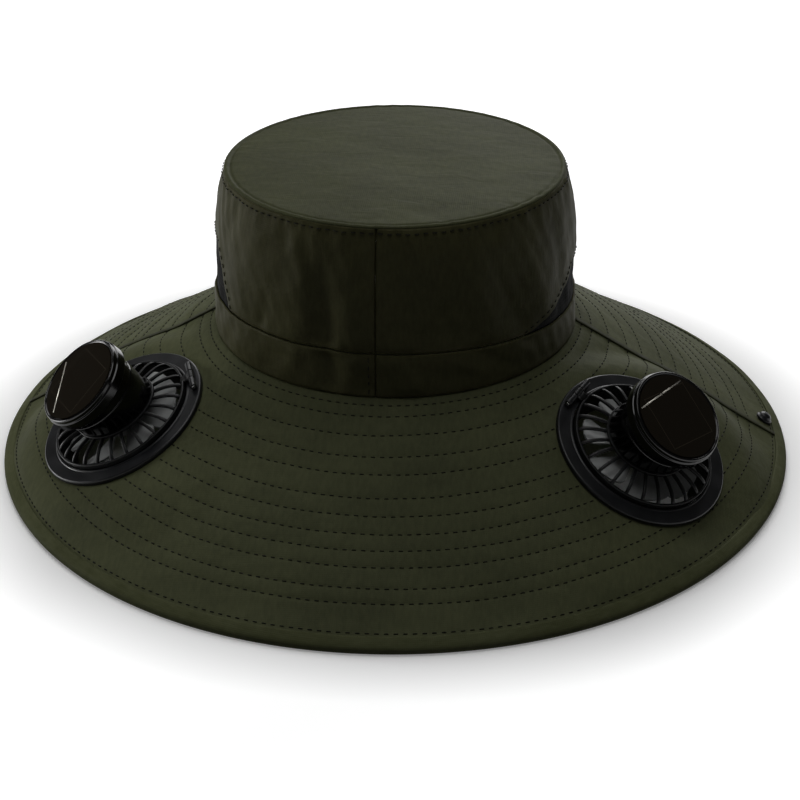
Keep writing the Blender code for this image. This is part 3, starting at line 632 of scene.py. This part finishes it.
def crown_face(angle, height, proud=0.0, relief=True):
    """The crown's oval wall with its folds: it tapers a little and rounds in at its shoulder by (h / H)^6."""
    share = height / CROWN_HEIGHT
    taper = WALL_TAPER * share
    lean = np.clip(share, 0.0, None) ** SHOULDER_POWER
    out = proud + (wall_relief(angle, height) if relief else 0.0)
    half_width = mix(HEAD_HALF_WIDTH, TIP_HALF_WIDTH + WALL_TAPER, lean) - taper + out
    half_length = mix(HEAD_HALF_LENGTH, TIP_HALF_LENGTH + WALL_TAPER, lean) - taper + out
    return np.stack([half_width * np.sin(angle), -half_length * np.cos(angle) - TIP_FORWARD * share,
                     np.broadcast_to(CROWN_FOOT + height, angle.shape)], axis=-1)


def wall_map(angle, height):
    """The wall unrolled flat: distance round the head and height, in metres."""
    return np.stack([angle * HEAD_HALF_LENGTH, height], axis=-1)


def seam_roll(distance, width=0.0009, depth=0.0007):
    """How far cloth turns in at a seam: -depth (1 - d/width)^2 within a width of it."""
    return -depth * np.clip(1.0 - distance / width, 0.0, 1.0) ** 2


def end_roll(degrees, start, end):
    """The roll at the two ends of a panel that runs from start to end in degrees."""
    return seam_roll(np.minimum(degrees - start, end - degrees) * math.radians(1.0) * HEAD_HALF_LENGTH)


def vent_of(side):
    return dict(zip(VENT_COLUMNS, VENTS[side]))


def vent_edge(side):
    """Degrees from straight ahead of a vent's slanted edge at each row of a wall."""
    vent = vent_of(side)
    return mix(vent["front_foot"], vent["front_top"], np.concatenate([VENT_ROWS, np.ones(len(UPPER_ROWS))]))


def sill_height(angle):
    """Height of the vents' top edges, running smoothly from the left one's to the right one's."""
    return mix(vent_of("left")["top"], vent_of("right")["top"], smoothstep(-0.2, 0.2, np.sin(angle)))


def build_wall(part, start, end, columns, low, high):
    """A panel of the crown's wall from start to end in degrees. Where low or high gives a vent's slanted
    edge near that end, the columns beyond it lie in the vent, and their faces below its top are left out."""
    ends = [np.full(len(VENT_ROWS) + len(UPPER_ROWS), bare) if edge is None else edge
            for bare, edge in ((start, low), (end, high))]
    parts = [mix(ends[0][:, None], ends[1][:, None], np.linspace(0.0, 1.0, columns)[None])]
    beside = np.linspace(0.0, 1.0, VENT_SIDE_COLUMNS)[None]
    if low is not None:
        parts.insert(0, mix(start, low[:, None], beside)[:, :-1])
    if high is not None:
        parts.append(mix(high[:, None], end, beside)[:, 1:])
    first = 0 if low is None else VENT_SIDE_COLUMNS - 1
    last = 0 if high is None else VENT_SIDE_COLUMNS - 1
    degrees = np.concatenate(parts, axis=1)
    angle = np.radians(degrees)
    foot = band_top(angle) + 0.0001
    sill = sill_height(angle)
    beside_vent = len(VENT_ROWS)
    height = np.concatenate([mix(foot[:beside_vent], sill[:beside_vent], VENT_ROWS[:, None]),
                             mix(sill[beside_vent:], CROWN_HEIGHT - 0.0006, UPPER_ROWS[:, None])])
    proud = end_roll(degrees, start, end) + seam_roll(height - foot, 0.0012, 0.0006)
    points = crown_face(angle, height, proud).reshape(-1, 3)
    faces = grid_faces(*angle.shape)
    row, column = np.divmod(faces[:, 0], angle.shape[1])
    in_vent = (row < beside_vent - 1) & ((column < first) | (column >= angle.shape[1] - 1 - last))
    shape, used = trimmed(points, faces[~in_vent])
    cloth_map = wall_map(angle, height).reshape(-1, 2)[used]
    piece = put_cloth("crown_wall_" + part, shape, NYLON_WALL_PAINTED_SHADE, "crown_" + part, cloth_map, CLOTH_WALL)


def build_vent(side):
    """The mesh panel behind a vent's opening."""
    vent = vent_of(side)
    climb = np.linspace(-0.02, 1.02, 24)[:, None]
    edge = mix(vent["front_foot"], vent["front_top"], climb) - 0.5
    across = np.linspace(0.0, 1.0, 60)[None]
    angle = np.radians(mix(edge, 180.0 - edge, across if vent["hand"] > 0.0 else 1.0 - across)) * vent["hand"]
    height = mix(band_top(angle), vent["top"], climb)
    points = crown_face(angle, height, -0.0006).reshape(-1, 3)
    piece = put_cloth("crown_vent_" + side, (points, grid_faces(*angle.shape)), MESH, "vent_" + side,
                      wall_map(angle, height), MESH_WALL)


def build_tip(steps=256):
    """The flat oval top: a low dome over an oval, its last rows rolled over the seam."""
    inward = np.concatenate([np.linspace(0.02, 0.80, 40), np.linspace(0.81, 1.0, 26)])
    angle = np.linspace(0.0, 2.0 * np.pi, steps, endpoint=False)[:, None]
    share = np.broadcast_to(inward[None], (steps, len(inward)))
    angle = np.broadcast_to(angle, share.shape)
    rim = crown_face(angle, np.full_like(angle, CROWN_HEIGHT), relief=False)
    centre = np.array([0.0, -TIP_FORWARD, CROWN_FOOT + CROWN_HEIGHT])
    points = centre + (rim - centre) * share[..., None]
    flat = np.clip(share - 1.0 / 3.0, 0.0, None) / (2.0 / 3.0)
    spot = points[..., 0], points[..., 1]
    rise = TIP_RISE * (1.0 - flat ** 2)
    wrinkles = 0.30 * MM * soft_noise(*spot, 0.060, 31) + 0.10 * MM * soft_noise(*spot, 0.019, 32)
    gathers = 0.22 * MM * ring_noise(angle, np.zeros_like(angle), 0.0095, 33) * smoothstep(0.86, 0.97, share)
    piping = (0.45 * MM * np.exp(-((share - 0.988) / 0.009) ** 2)
              - 0.55 * MM * np.exp(-((share - 0.968) / 0.006) ** 2))
    points[..., 2] += (rise + wrinkles * smoothstep(1.0, 0.9, share) + gathers * smoothstep(1.0, 0.985, share)
                       + piping)
    rolled = [points]
    for out, down in ((0.12, 0.15), (0.22, 0.38), (0.20, 0.65), (0.02, 0.90), (-0.40, 1.05)):
        line = crown_face(angle[:, :1], np.full((steps, 1), CROWN_HEIGHT), out * MM, relief=False)
        line[..., 2] += 0.42 * MM * math.exp(-1.8) - down * MM
        rolled.append(line)
    points = np.concatenate(rolled, axis=1)
    columns = points.shape[1]
    ring = np.arange(steps) * columns
    hub = np.full(steps, steps * columns)
    fan = np.stack([hub, ring, np.roll(ring, -1), np.roll(ring, -1)], axis=-1)
    points = np.concatenate([points.reshape(-1, 3), (centre + UP * TIP_RISE)[None]])
    faces = np.concatenate([grid_faces(steps, columns, round_rows=True), fan])
    piece = put_cloth("crown_tip_cloth", (points, faces), NYLON_TIP, "crown_tip", points[:, :2], TIP_WALL)


def build_bands():
    """The two halves of the band round the crown's foot, their top edge folded in."""
    shares = np.concatenate([np.linspace(0.01, 0.885, 22), np.linspace(0.91, 1.0, 8)])
    for side, start, end in (("left", -180.0, -SEAM_GAP), ("right", SEAM_GAP, 180.0)):
        degrees = np.broadcast_to(np.linspace(start, end, 300)[None], (len(shares), 300))
        angle = np.radians(degrees)
        height = band_top(angle) * shares[:, None]
        proud = (0.55 * MM + end_roll(degrees, start, end)
                 + seam_roll(band_top(angle) - height, 0.0011, 0.0005) + seam_roll(height, 0.0016, 0.0006))
        shape = crown_face(angle, height, proud).reshape(-1, 3), grid_faces(*angle.shape)
        piece = put_cloth("crown_band_" + side, shape, NYLON_WALL_PAINTED_SHADE, "band_" + side, wall_map(angle, height),
                          BAND_WALL)


def build_crown():
    """Walls, vents, tip and band."""
    build_wall("front_left", -90.0, -SEAM_GAP, 110, -vent_edge("left"), None)
    build_wall("front_right", SEAM_GAP, 90.0, 110, None, vent_edge("right"))
    build_wall("back", 90.0, 270.0, 150, 180.0 - vent_edge("right"), 180.0 + vent_edge("left"))
    for side in VENTS:
        build_vent(side)
    build_tip()
    build_bands()


def brim_rows():
    """Distances down the brim of its rows: close together across each groove, up to 2.6 mm apart between."""
    marks = [-0.0016, -0.0006, 0.0, 0.0012, BRIM_WIDTH - 0.0015, BRIM_WIDTH]
    for row in QUILT_ROWS:
        marks += [row * MM + step * MM for step in (-1.5, -0.75, 0.0, 0.75, 1.5)]
    marks = sorted(marks)
    rows = []
    for low, high in zip(marks, marks[1:]):
        pieces = max(1, math.ceil((high - low) / 0.0026))
        rows += [mix(low, high, step / pieces) for step in range(pieces)]
    return np.array(rows + marks[-1:])


def flat_pattern(angle, reach):
    """The brim unrolled flat: a cone's radius from its point, and its angle shortened by cos(slope)."""
    radius = 0.5 * (HEAD_HALF_WIDTH + HEAD_HALF_LENGTH) / math.cos(SLOPE) + reach
    turn = angle * math.cos(SLOPE)
    return np.stack([radius * np.sin(turn), radius * np.cos(turn)], axis=-1)


def build_brim_panel(part, start, end, columns, seam_side):
    """Half of the brim from start to end in degrees, with a round hole under each fan that it carries."""
    reach, angle = np.meshgrid(brim_rows(), np.radians(np.linspace(start, end, columns)))
    points = brim_face(angle, reach).reshape(-1, 3)
    faces = grid_faces(*angle.shape)
    for origin, axes in FANS.values():
        inside = fan_radius(points[faces].mean(axis=1), origin, axes)[0] < BRIM_HOLE + 0.0006
        edge = np.intersect1d(np.unique(faces[inside]), np.unique(faces[~inside]))
        faces = faces[~inside]
        local = (points[edge] - origin) @ axes.T
        local[:, :2] *= (BRIM_HOLE / np.maximum(np.hypot(local[:, 0], local[:, 1]), 1e-6))[:, None]
        points[edge] = origin + local @ axes
    shape, used = trimmed(points, faces)
    cloth_map = flat_pattern(angle - math.radians((start + end) / 2), reach).reshape(-1, 2)[used]
    piece = put_cloth("brim_cloth_" + part, shape, NYLON, "brim_" + part, cloth_map, BRIM_WALL)
    build_lap(seam_side)


def build_tape():
    """Tape folded round the brim's edge: a closed section carried round it, pressed flat on the floor."""
    section = np.array([
        (-5.5, 0.12), (-5.45, 0.50), (-5.1, 0.72), (-4.2, 0.82), (-3.0, 0.88), (-1.6, 0.90), (-0.4, 0.80),
        (0.5, 0.42), (1.0, -0.2), (1.25, -1.0), (1.3, -1.8), (1.2, -2.6), (0.9, -3.1), (0.3, -3.3),
        (-1.5, -3.3), (-3.5, -3.3), (-5.5, -3.15), (-5.5, -2.4), (-3.0, -2.4), (-0.5, -2.3), (0.3, -1.0),
        (-0.4, 0.03), (-3.0, 0.08),
    ]) * MM
    columns = 640
    angle = np.linspace(np.pi, 3.0 * np.pi, columns, endpoint=False)
    puffs = ring_noise(angle, np.zeros_like(angle), 0.0045, 51)
    swell = 1.0 + 0.16 * puffs[:, None] * (section[:, 1] > 0.0003)
    ring, _, down, facing = brim_frame(angle)
    points = (ring[:, None] + down[:, None] * (BRIM_WIDTH + section[:, 0])[None, :, None]
              + facing[:, None] * (section[:, 1] * swell)[..., None])
    points[..., 2] = np.maximum(points[..., 2], 0.0)
    girth = np.cumsum(np.r_[0.0, np.hypot(*np.diff(section, axis=0).T)])
    cloth_map = np.stack(np.meshgrid(girth, angle * 0.2), axis=-1)
    faces = grid_faces(columns, len(section), round_rows=True, round_columns=True)
    piece = put("brim_tape", (points.reshape(-1, 3), faces), TAPE, "brim_binding",
                cloth_map=cloth_map)


def build_lap(side):
    """The folded lap over a side seam of the brim: a low rounded ridge from the band to the tape."""
    hand = -1.0 if side == "left" else 1.0
    reach = np.linspace(0.0006, 0.1178, 90)
    path = brim_face(np.full_like(reach, hand * np.pi / 2), reach, plain=True)
    up = X_WAY * hand * math.sin(SLOPE) + UP * math.cos(SLOPE)
    wobble = 0.00008 * soft_noise(reach, reach, 0.008, 61)
    section = np.array([(-1.75, 0.15), (-1.65, 0.75), (-1.2, 1.05), (-0.5, 0.92), (0.4, 0.95), (1.1, 1.05),
                        (1.6, 0.75), (1.75, 0.15)]) * MM
    lap = sweep(path + up * wobble[:, None], Y_WAY, up, section)
    return put("brim_lap_" + side, lap, NYLON_LAP_PAINTED_SHADE, "brim_seam_" + side)


def build_snaps():
    """A domed cap snap on the back brim beside each side seam."""
    profile = rounded([(0.0, 0.25), (4.2, 0.25), (4.2, 1.3), (3.7, 1.7), (3.4, 1.75), (2.9, 3.0), (1.6, 3.75),
                       (0.0, 3.9)], 0.35, closed=False) * MM
    points, faces = lathe(profile, 48, closed=False)
    for side, degrees, reach in SNAPS:
        angle = np.radians(np.array([degrees]))
        centre = brim_face(angle, np.array([reach]), plain=True)[0]
        away, facing = (vectors[0] for vectors in brim_frame(angle)[1::2])
        across = unit(np.cross(facing, away))
        axes = np.stack([across, np.cross(facing, across), facing])
        cap = centre + points @ axes, faces
        put("brim_snap_" + side, cap, SATIN_BLACK, "snap_" + side)


def build_brim():
    """Front and back brim panels, each with the lap over one side seam, the tape and the snaps."""
    build_brim_panel("front", -89.9, 89.9, 361, "right")
    build_brim_panel("back", 90.1, 269.9, 301, "left")
    build_tape()
    build_snaps()


# Stitches

def dashes(lines):
    """Short rounded dashes laid at an even pitch along lines of (points, normals): four-sided sections at
    -1, -0.7, 0.7 and 1 of the half length, thin at the ends, with the middle lifted to bow over the cloth."""
    centres, runs, ups = [], [], []
    for points, normals in lines:
        step = np.linalg.norm(np.diff(points, axis=0), axis=1)
        along = np.concatenate([[0.0], np.cumsum(step)])
        marks = np.arange(STITCH_PITCH / 2, along[-1], STITCH_PITCH)
        wanted = ((marks, points), (marks + 0.0004, points), (marks, normals))
        centre, ahead, up = (np.stack([np.interp(at, along, values[:, axis]) for axis in range(3)], axis=-1)
                             for at, values in wanted)
        centres.append(centre)
        runs.append(unit(ahead - centre + 1e-12))
        ups.append(unit(up))
    centre, run, up = (np.concatenate(values) for values in (centres, runs, ups))
    keep = np.ones(len(centre), dtype=bool)
    for origin, axes in FANS.values():
        keep &= fan_radius(centre, origin, axes)[0] > STITCH_KEEP_OUT
    centre, run, up = centre[keep], run[keep], up[keep]
    across = np.cross(up, run)
    spots = np.array([-1.0, -0.7, 0.7, 1.0]) * STITCH_LENGTH / 2
    size = np.array([0.35, 1.0, 1.0, 0.35]) * THREAD_RADIUS
    lift = np.array([-0.7, 0.35, 0.35, -0.7]) * THREAD_RADIUS
    corner = np.array([(1.0, 0.0), (0.0, 0.8), (-1.0, 0.0), (0.0, -0.8)])
    points = (centre[:, None, None] + run[:, None, None] * spots[None, :, None, None]
              + across[:, None, None] * (size[:, None] * corner[:, 0])[None, ..., None]
              + up[:, None, None] * (size[:, None] * corner[:, 1] + lift[:, None])[None, ..., None])
    dash = np.concatenate([grid_faces(4, 4, round_columns=True), [(3, 2, 1, 0), (12, 13, 14, 15)]])
    faces = (dash[None] + (np.arange(len(centre)) * 16)[:, None, None]).reshape(-1, 4)
    return points.reshape(-1, 3), faces


def brim_line(row, start, end):
    """Points and facing along one row of the brim, just above its groove."""
    angle = np.radians(np.linspace(start, end, 700))
    return brim_face(angle, np.full_like(angle, row * MM), lift=0.00008), brim_frame(angle)[3]


def wall_line(start, end, low, high, proud, count=500):
    """Points and facing along a straight line in (degrees, height) on the crown's wall."""
    share = np.linspace(0.0, 1.0, count)
    angle = np.radians(mix(start, end, share))
    return crown_face(angle, mix(low, high, share), proud), head_ring(angle)[1]


def vent_lines(side):
    """Lines up a vent's front edge and along its top, just outside it."""
    vent = vent_of(side)
    foot = vent["front_foot"] - 2.0
    front = vent["hand"] * (vent["front_top"] - 2.0)
    back = vent["hand"] * (182.0 - vent["front_top"])
    level = vent["top"] + 0.0012
    low = BAND_HEIGHT - BAND_DIPS[side] * math.sin(math.radians(foot)) ** 2 + 0.001
    return [wall_line(vent["hand"] * foot, front, low, level, 0.0001),
            wall_line(front, back, level, level, 0.0001)]


def build_stitches():
    """Quilting on the brim, and topstitching round the tip, up the band beside the front seam and round
    the vents."""
    below_tip = CROWN_HEIGHT - 0.0026
    groups = {
        "brim_quilting_front": [brim_line(row, -89.0, 89.0) for row in QUILT_ROWS],
        "brim_quilting_back": [brim_line(row, 91.0, 269.0) for row in QUILT_ROWS],
        "crown_topstitching": [wall_line(-180.0, 180.0, below_tip, below_tip, 0.0003, 1400),
                               wall_line(-2.0, -2.0, 0.001, BAND_HEIGHT - 0.001, 0.0006)],
        "vent_topstitching": vent_lines("left") + vent_lines("right"),
    }
    for name, lines in groups.items():
        put(name, dashes(lines), THREAD)


# Fans

def put_fan(side, name, shape, material, node, part="head", places=FANS, sharp=None):
    """Take a shape from the frame of a fan or its cap to its place, as a piece that rides on the hat or on
    the fan's head or rotor."""
    origin, axes = places[side]
    points, faces = shape
    body = part if part == "hat" else side + "_" + part
    put(side + "_" + name, (origin + points @ axes, faces), material, side + "_fan_" + node, body,
        sharp=sharp)


def bar(start, end, radius, steps=20):
    """A round bar with rounded ends along Y at the hinge's place."""
    length = end - start
    profile = rounded([(0.0, 0.0), (radius, 0.0), (radius, length), (0.0, length)], 0.00025, closed=False)
    points, faces = lathe(profile, steps, closed=False)
    points = np.stack([points[:, 0], points[:, 2] + start, points[:, 1]], axis=-1)
    return points + np.array([-HINGE_RADIUS, 0.0, HINGE_HEIGHT]), faces


def knuckle(start, end, foot):
    """A hinge knuckle along Y at the hinge's place, on a foot that runs down to a height."""
    path = np.array([(-HINGE_RADIUS, start + 0.0002, 0.0), (-HINGE_RADIUS, end - 0.0002, 0.0)])
    half = KNUCKLE_RADIUS * 0.8
    section = rounded([(-half, foot), (half, foot), (half, HINGE_HEIGHT), (-half, HINGE_HEIGHT)], 0.0003)
    return [bar(start, end, KNUCKLE_RADIUS), sweep(path, X_WAY, UP, section)]


def build_flange(side):
    """Flange and collar with a fine raised lip round the hole, outer knuckles, clamp ring and hinge pin."""
    inner = ARM_HALF + KNUCKLE_GAP
    collar = turned([(34.5, -8.5), (35.7, -8.5), (35.7, -2.2), (42.0, -2.2), (42.0, -0.55), (41.4, 0.0),
                     (35.6, 0.0), (35.3, 0.25), (34.6, 0.25), (34.5, 0.0)], 0.25, 160)
    parts = [collar] + knuckle(-HINGE_HALF, -inner, -0.0009) + knuckle(inner, HINGE_HALF, -0.0009)
    put_fan(side, "flange_moulding", join(parts), SATIN_BLACK, "flange", "hat")
    ring = turned([(36.0, -6.9), (38.8, -6.9), (38.8, -4.9), (36.0, -4.9)], 0.4, 128)
    put_fan(side, "clamp_ring_moulding", ring, SATIN_BLACK, "clamp_ring", "hat")
    pin = bar(-0.0101, 0.0101, 0.0009, 16)
    put_fan(side, "hinge_pin_turned", pin, PIN, "hinge_pin", "hat")


def build_cage(side):
    """Basket wall with a rounded lip, ribs, deck and the hinge's arm. A rib's path rises by
    (1 - s^2.5)^0.4 of its height as its radius falls, s being the share of the way out."""
    wall = turned([(31.6 - 1.3, -12.0), (31.6, -12.0), (34.1, -1.1), (34.1, 2.6), (32.8, 2.6), (32.8, -1.1)],
                  0.5, 160)
    deck = turned([(2.0, 5.0), (20.3, 5.0), (20.3, 6.6), (2.0, 6.6)], 0.3, 96)
    parts = [wall, deck]
    share = np.concatenate([np.linspace(1.0, 0.9, 9), np.linspace(0.88, 0.0, 20)])
    radius = mix(RIB_FOOT, RIB_REACH, share)
    height = mix(-0.0011, 0.0053, (1.0 - share ** 2.5) ** 0.4)
    run = unit(np.stack([np.gradient(radius), np.gradient(height)], axis=-1))
    section = oval(0.00085, 0.00075, 10, 0.7)
    for count in range(RIB_COUNT):
        turn = 2.0 * math.pi * (count + RIB_PHASE) / RIB_COUNT
        out = np.array([math.cos(turn), math.sin(turn), 0.0])
        path = out * radius[:, None] + UP * height[:, None]
        parts.append(sweep(path, np.cross(UP, out), run[:, :1] * UP - run[:, 1:] * out, section))
    parts += knuckle(-ARM_HALF, ARM_HALF, HINGE_HEIGHT - 0.0010)
    arm = np.array([(-HINGE_RADIUS, 0.0, HINGE_HEIGHT), (-0.0334, 0.0, HINGE_HEIGHT)])
    parts.append(sweep(arm, Y_WAY, UP, oval(ARM_HALF, 0.0007, 16, 0.35)))
    put_fan(side, "cage_moulding", join(parts), CAGE_BLACK_PAINTED_SHADE, "cage")


def build_hub(side):
    """Motor housing with shallow turned steps, running from the deck's level to the cap's lean by
    (1 - s) low + s high."""
    points, faces = turned([(0.0, 6.9), (19.6, 6.9), (19.9, 12.0), (20.3, 18.4), (20.1, 18.7), (20.1, 19.1),
                            (20.4, 19.4), (20.6, 22.9), (0.0, 22.9)], 0.4, 128, closed=False)
    share = (points[:, 2:] - HUB_FOOT) / (HUB_TOP - HUB_FOOT)
    level = points * (X_WAY + Y_WAY)
    low, high = (origin + (level + UP * height) @ axes
                 for (origin, axes), height in ((FANS[side], HUB_FOOT), (CAPS[side], HUB_TOP)))
    put(side + "_hub_housing", (mix(low, high, share), faces), GLOSS_BLACK, side + "_fan_hub",
        side + "_head")


def build_cap(side):
    """The stepped bezel, the cell under its clear dome 1 - s^4, and the ribbon on it."""
    bezel = turned([(0.0, 23.2), (22.1, 23.2), (22.8, 23.9), (22.8, 28.2), (22.45, 28.5), (22.2, 28.7),
                    (22.2, 30.3), (21.8, 30.8), (21.2, 30.8), (20.9, 30.5), (20.6, 30.4), (20.6, 29.9),
                    (0.0, 29.9)], 0.22, 160, closed=False)
    put_fan(side, "cap_bezel", bezel, GLOSS_BLACK, "solar_cap", places=CAPS)
    spread = np.linspace(1.0, 0.0, 30)
    dome = np.stack([20.3 * spread, 30.8 + 0.22 * (1.0 - spread ** 4)], axis=-1)
    disc = lathe(np.concatenate([[(0.0, 30.2), (20.3, 30.2)], dome]) * MM, 128, closed=False)
    put_fan(side, "cell_disc", disc, solar_cell(side), "solar_cell", places=CAPS, sharp=40.0)
    origin, axes = CAPS[side]
    path = origin + axes[2] * (CAP_TOP + 0.00015) + np.array(BUS_LINES[side]) * MM @ cap_slope(side)
    strip = sweep(path, np.cross(axes[2], unit(path[1] - path[0])), axes[2], oval(0.00028, 0.00009, 8, 0.5))
    put(side + "_cell_ribbon", strip, RIBBON, body=side + "_head")


def cap_slope(side):
    """The way down the slope of a cap's face, and the way across it, as rows."""
    axis = CAPS[side][1][2]
    down = unit(axis * axis[2] - UP)
    return np.stack([down, np.cross(axis, down)])


def solar_cell(side):
    """Amorphous solar cell under cast epoxy: glossy, nearly black brown, with a fine grid of dots 0.8 mm
    apart and a faint paler outline of the cell's square."""
    material, tree, shader = new_material(side + "_epoxy_solar_cell", Roughness=0.07, IOR=1.50,
                                          Specular_IOR_Level=0.35)
    place = add_node(tree, "TexCoord", "Object")
    spots = []
    for row in cap_slope(side):
        spot = add_node(tree, "VectorMath", "Value", {0: place, 1: tuple(row.tolist())},
                        operation="DOT_PRODUCT")
        spots.append(math_node(tree, "ADD", spot, float(-row @ CAPS[side][0])))
    flat = add_node(tree, "CombineXYZ", "Vector", {"X": spots[0], "Y": spots[1]})
    dots = add_node(tree, "TexVoronoi", "Distance", {"Vector": flat, "Scale": 1.0 / (0.8 * MM),
                                                     "Randomness": 0.0})
    square = math_node(tree, "MAXIMUM", *(math_node(tree, "ABSOLUTE", spot) for spot in spots))
    away = math_node(tree, "ABSOLUTE", math_node(tree, "SUBTRACT", square, CELL_SQUARE))
    line = add_node(tree, "MapRange", "Result", {"Value": away, "From Min": 0.00012, "From Max": 0.00035,
                                                 "To Min": 0.12, "To Max": 0.0})
    colour = colour_between(tree, dots, 0.15, 0.45, "251D10", "130F07")
    paint = add_node(tree, "Mix", "Result", {"Factor": line, "A": colour, "B": hex_colour("6A6252")},
                     data_type="RGBA")
    feed(tree, shader, Base_Color=paint)
    return material


def build_impeller(side):
    """Wheel with a domed hub, shaft and broad pitched blades that rise along their spread."""
    parts = [turned([(0.0, -5.7), (8.5, -5.7), (8.5, 3.2), (7.6, 3.8), (1.2, 3.8), (1.2, 11.8), (0.0, 11.8)],
                    0.5, 64, closed=False)]
    across = np.linspace(0.0, 1.0, 14)[:, None]
    along = np.linspace(0.0, 1.0, 18)[None]
    trim = 1.0 - 0.10 * (2.0 * along - 1.0) ** 6 * across
    radius = mix(BLADE_ROOT, BLADE_RADIUS, across) * mix(1.0, trim, across)
    height = np.broadcast_to(-0.0046 + 0.0060 * along + 0.0005 * np.sin(np.pi * along), radius.shape)
    for count in range(BLADE_COUNT):
        middle = 360.0 * count / BLADE_COUNT
        angle = np.radians(middle + (along - 0.5) * BLADE_SPREAD * mix(0.9, 1.0, across))
        top = np.stack([radius * np.cos(angle), radius * np.sin(angle), height], axis=-1)
        parts.append(shell(top, top - UP * 0.0010))
    put_fan(side, "wheel", join(parts), PALE_PLASTIC_PAINTED_LIGHT, "impeller", "rotor", sharp=35.0)


# Stage

def build_stage():
    """Plain pale floor that glows beyond the brim, its glow fading out towards the brim as a painted shadow
    round and under the hat, soft lights from above, behind and the left, weak white sky."""
    scene = bpy.context.scene
    mesh = bpy.data.meshes.new("floor")
    corners = ((-6.0, -6.0), (6.0, -6.0), (6.0, 6.0), (-6.0, 6.0))
    mesh.from_pydata([(*corner, -0.0002) for corner in corners], [], [(0, 1, 2, 3)])
    floor = bpy.data.objects.new("floor", mesh)
    scene.collection.objects.link(floor)
    paper, tree, shader = new_material("white_floor", Base_Color=hex_colour("FAFAFA"), Roughness=0.9,
                                       Emission_Color=hex_colour("FFFFFF"))
    place = add_node(tree, "TexCoord", "Object")
    away = add_node(tree, "VectorMath", "Value", {0: place}, operation="LENGTH")
    # The glow ramps up from nothing 0.185 m from the middle to full 0.235 m out: a painted shadow round the
    # brim's edge, and no glow under the hat.
    glow = add_node(tree, "MapRange", "Result", {"Value": away, "From Min": 0.185, "From Max": 0.235,
                                                 "To Min": 0.0, "To Max": 0.62})
    feed(tree, shader, Emission_Strength=glow)
    mesh.materials.append(paper)
    floor.visible_diffuse = False
    for name, (place, size, power) in LIGHTS.items():
        light = bpy.data.lights.new(name, "AREA")
        light.size = size
        light.energy = power
        lamp = bpy.data.objects.new(name, light)
        lamp.location = place
        way = -np.array(place) / np.linalg.norm(place)
        lamp.rotation_euler = (math.acos(-way[2]), 0.0, math.atan2(-way[0], way[1]))
        scene.collection.objects.link(lamp)
    world = bpy.data.worlds.new("studio")
    world.use_nodes = True
    sky = world.node_tree.nodes["Background"]
    sky.inputs["Color"].default_value = (1.0, 1.0, 1.0, 1.0)
    sky.inputs["Strength"].default_value = 0.05
    scene.world = world
    scene.view_settings.view_transform = "Standard"


def build_camera():
    """Camera 5.5 degrees to the right of the front and 24 above, 0.9 m from the brim's top at the crown,
    which it shows at pixel (396, 312) of 800."""
    turn = math.radians(5.5)
    rise = math.radians(24.0)
    distance = 0.9
    focal = 177.5 * distance / HEAD_HALF_WIDTH
    back = np.array([math.sin(turn) * math.cos(rise), -math.cos(turn) * math.cos(rise), math.sin(rise)])
    right = np.array([math.cos(turn), math.sin(turn), 0.0])
    up = np.cross(back, right)
    yaw = math.atan((396.0 - 400.0) / focal)
    pitch = math.atan((400.0 - 312.0) / focal * math.cos(yaw))
    ahead = -back * math.cos(pitch) - up * math.sin(pitch)
    matrix = np.eye(4)
    matrix[:3, 0] = right * math.cos(yaw) + ahead * math.sin(yaw)
    matrix[:3, 1] = up * math.cos(pitch) - back * math.sin(pitch)
    matrix[:3, 2] = right * math.sin(yaw) - ahead * math.cos(yaw)
    matrix[:3, 3] = UP * CROWN_FOOT + back * distance
    data = bpy.data.cameras.new("camera")
    data.sensor_width = 36.0
    data.lens = focal * 36.0 / 800.0
    camera = bpy.data.objects.new("camera", data)
    camera.matrix_world = [list(row) for row in matrix.T.tolist()]
    bpy.context.scene.collection.objects.link(camera)
    bpy.context.scene.camera = camera


build_crown()
build_brim()
build_stitches()
for fan_side in FANS:
    build_flange(fan_side)
    build_cage(fan_side)
    build_hub(fan_side)
    build_cap(fan_side)
    build_impeller(fan_side)
build_stage()
build_camera()

bpy.context.view_layer.update()
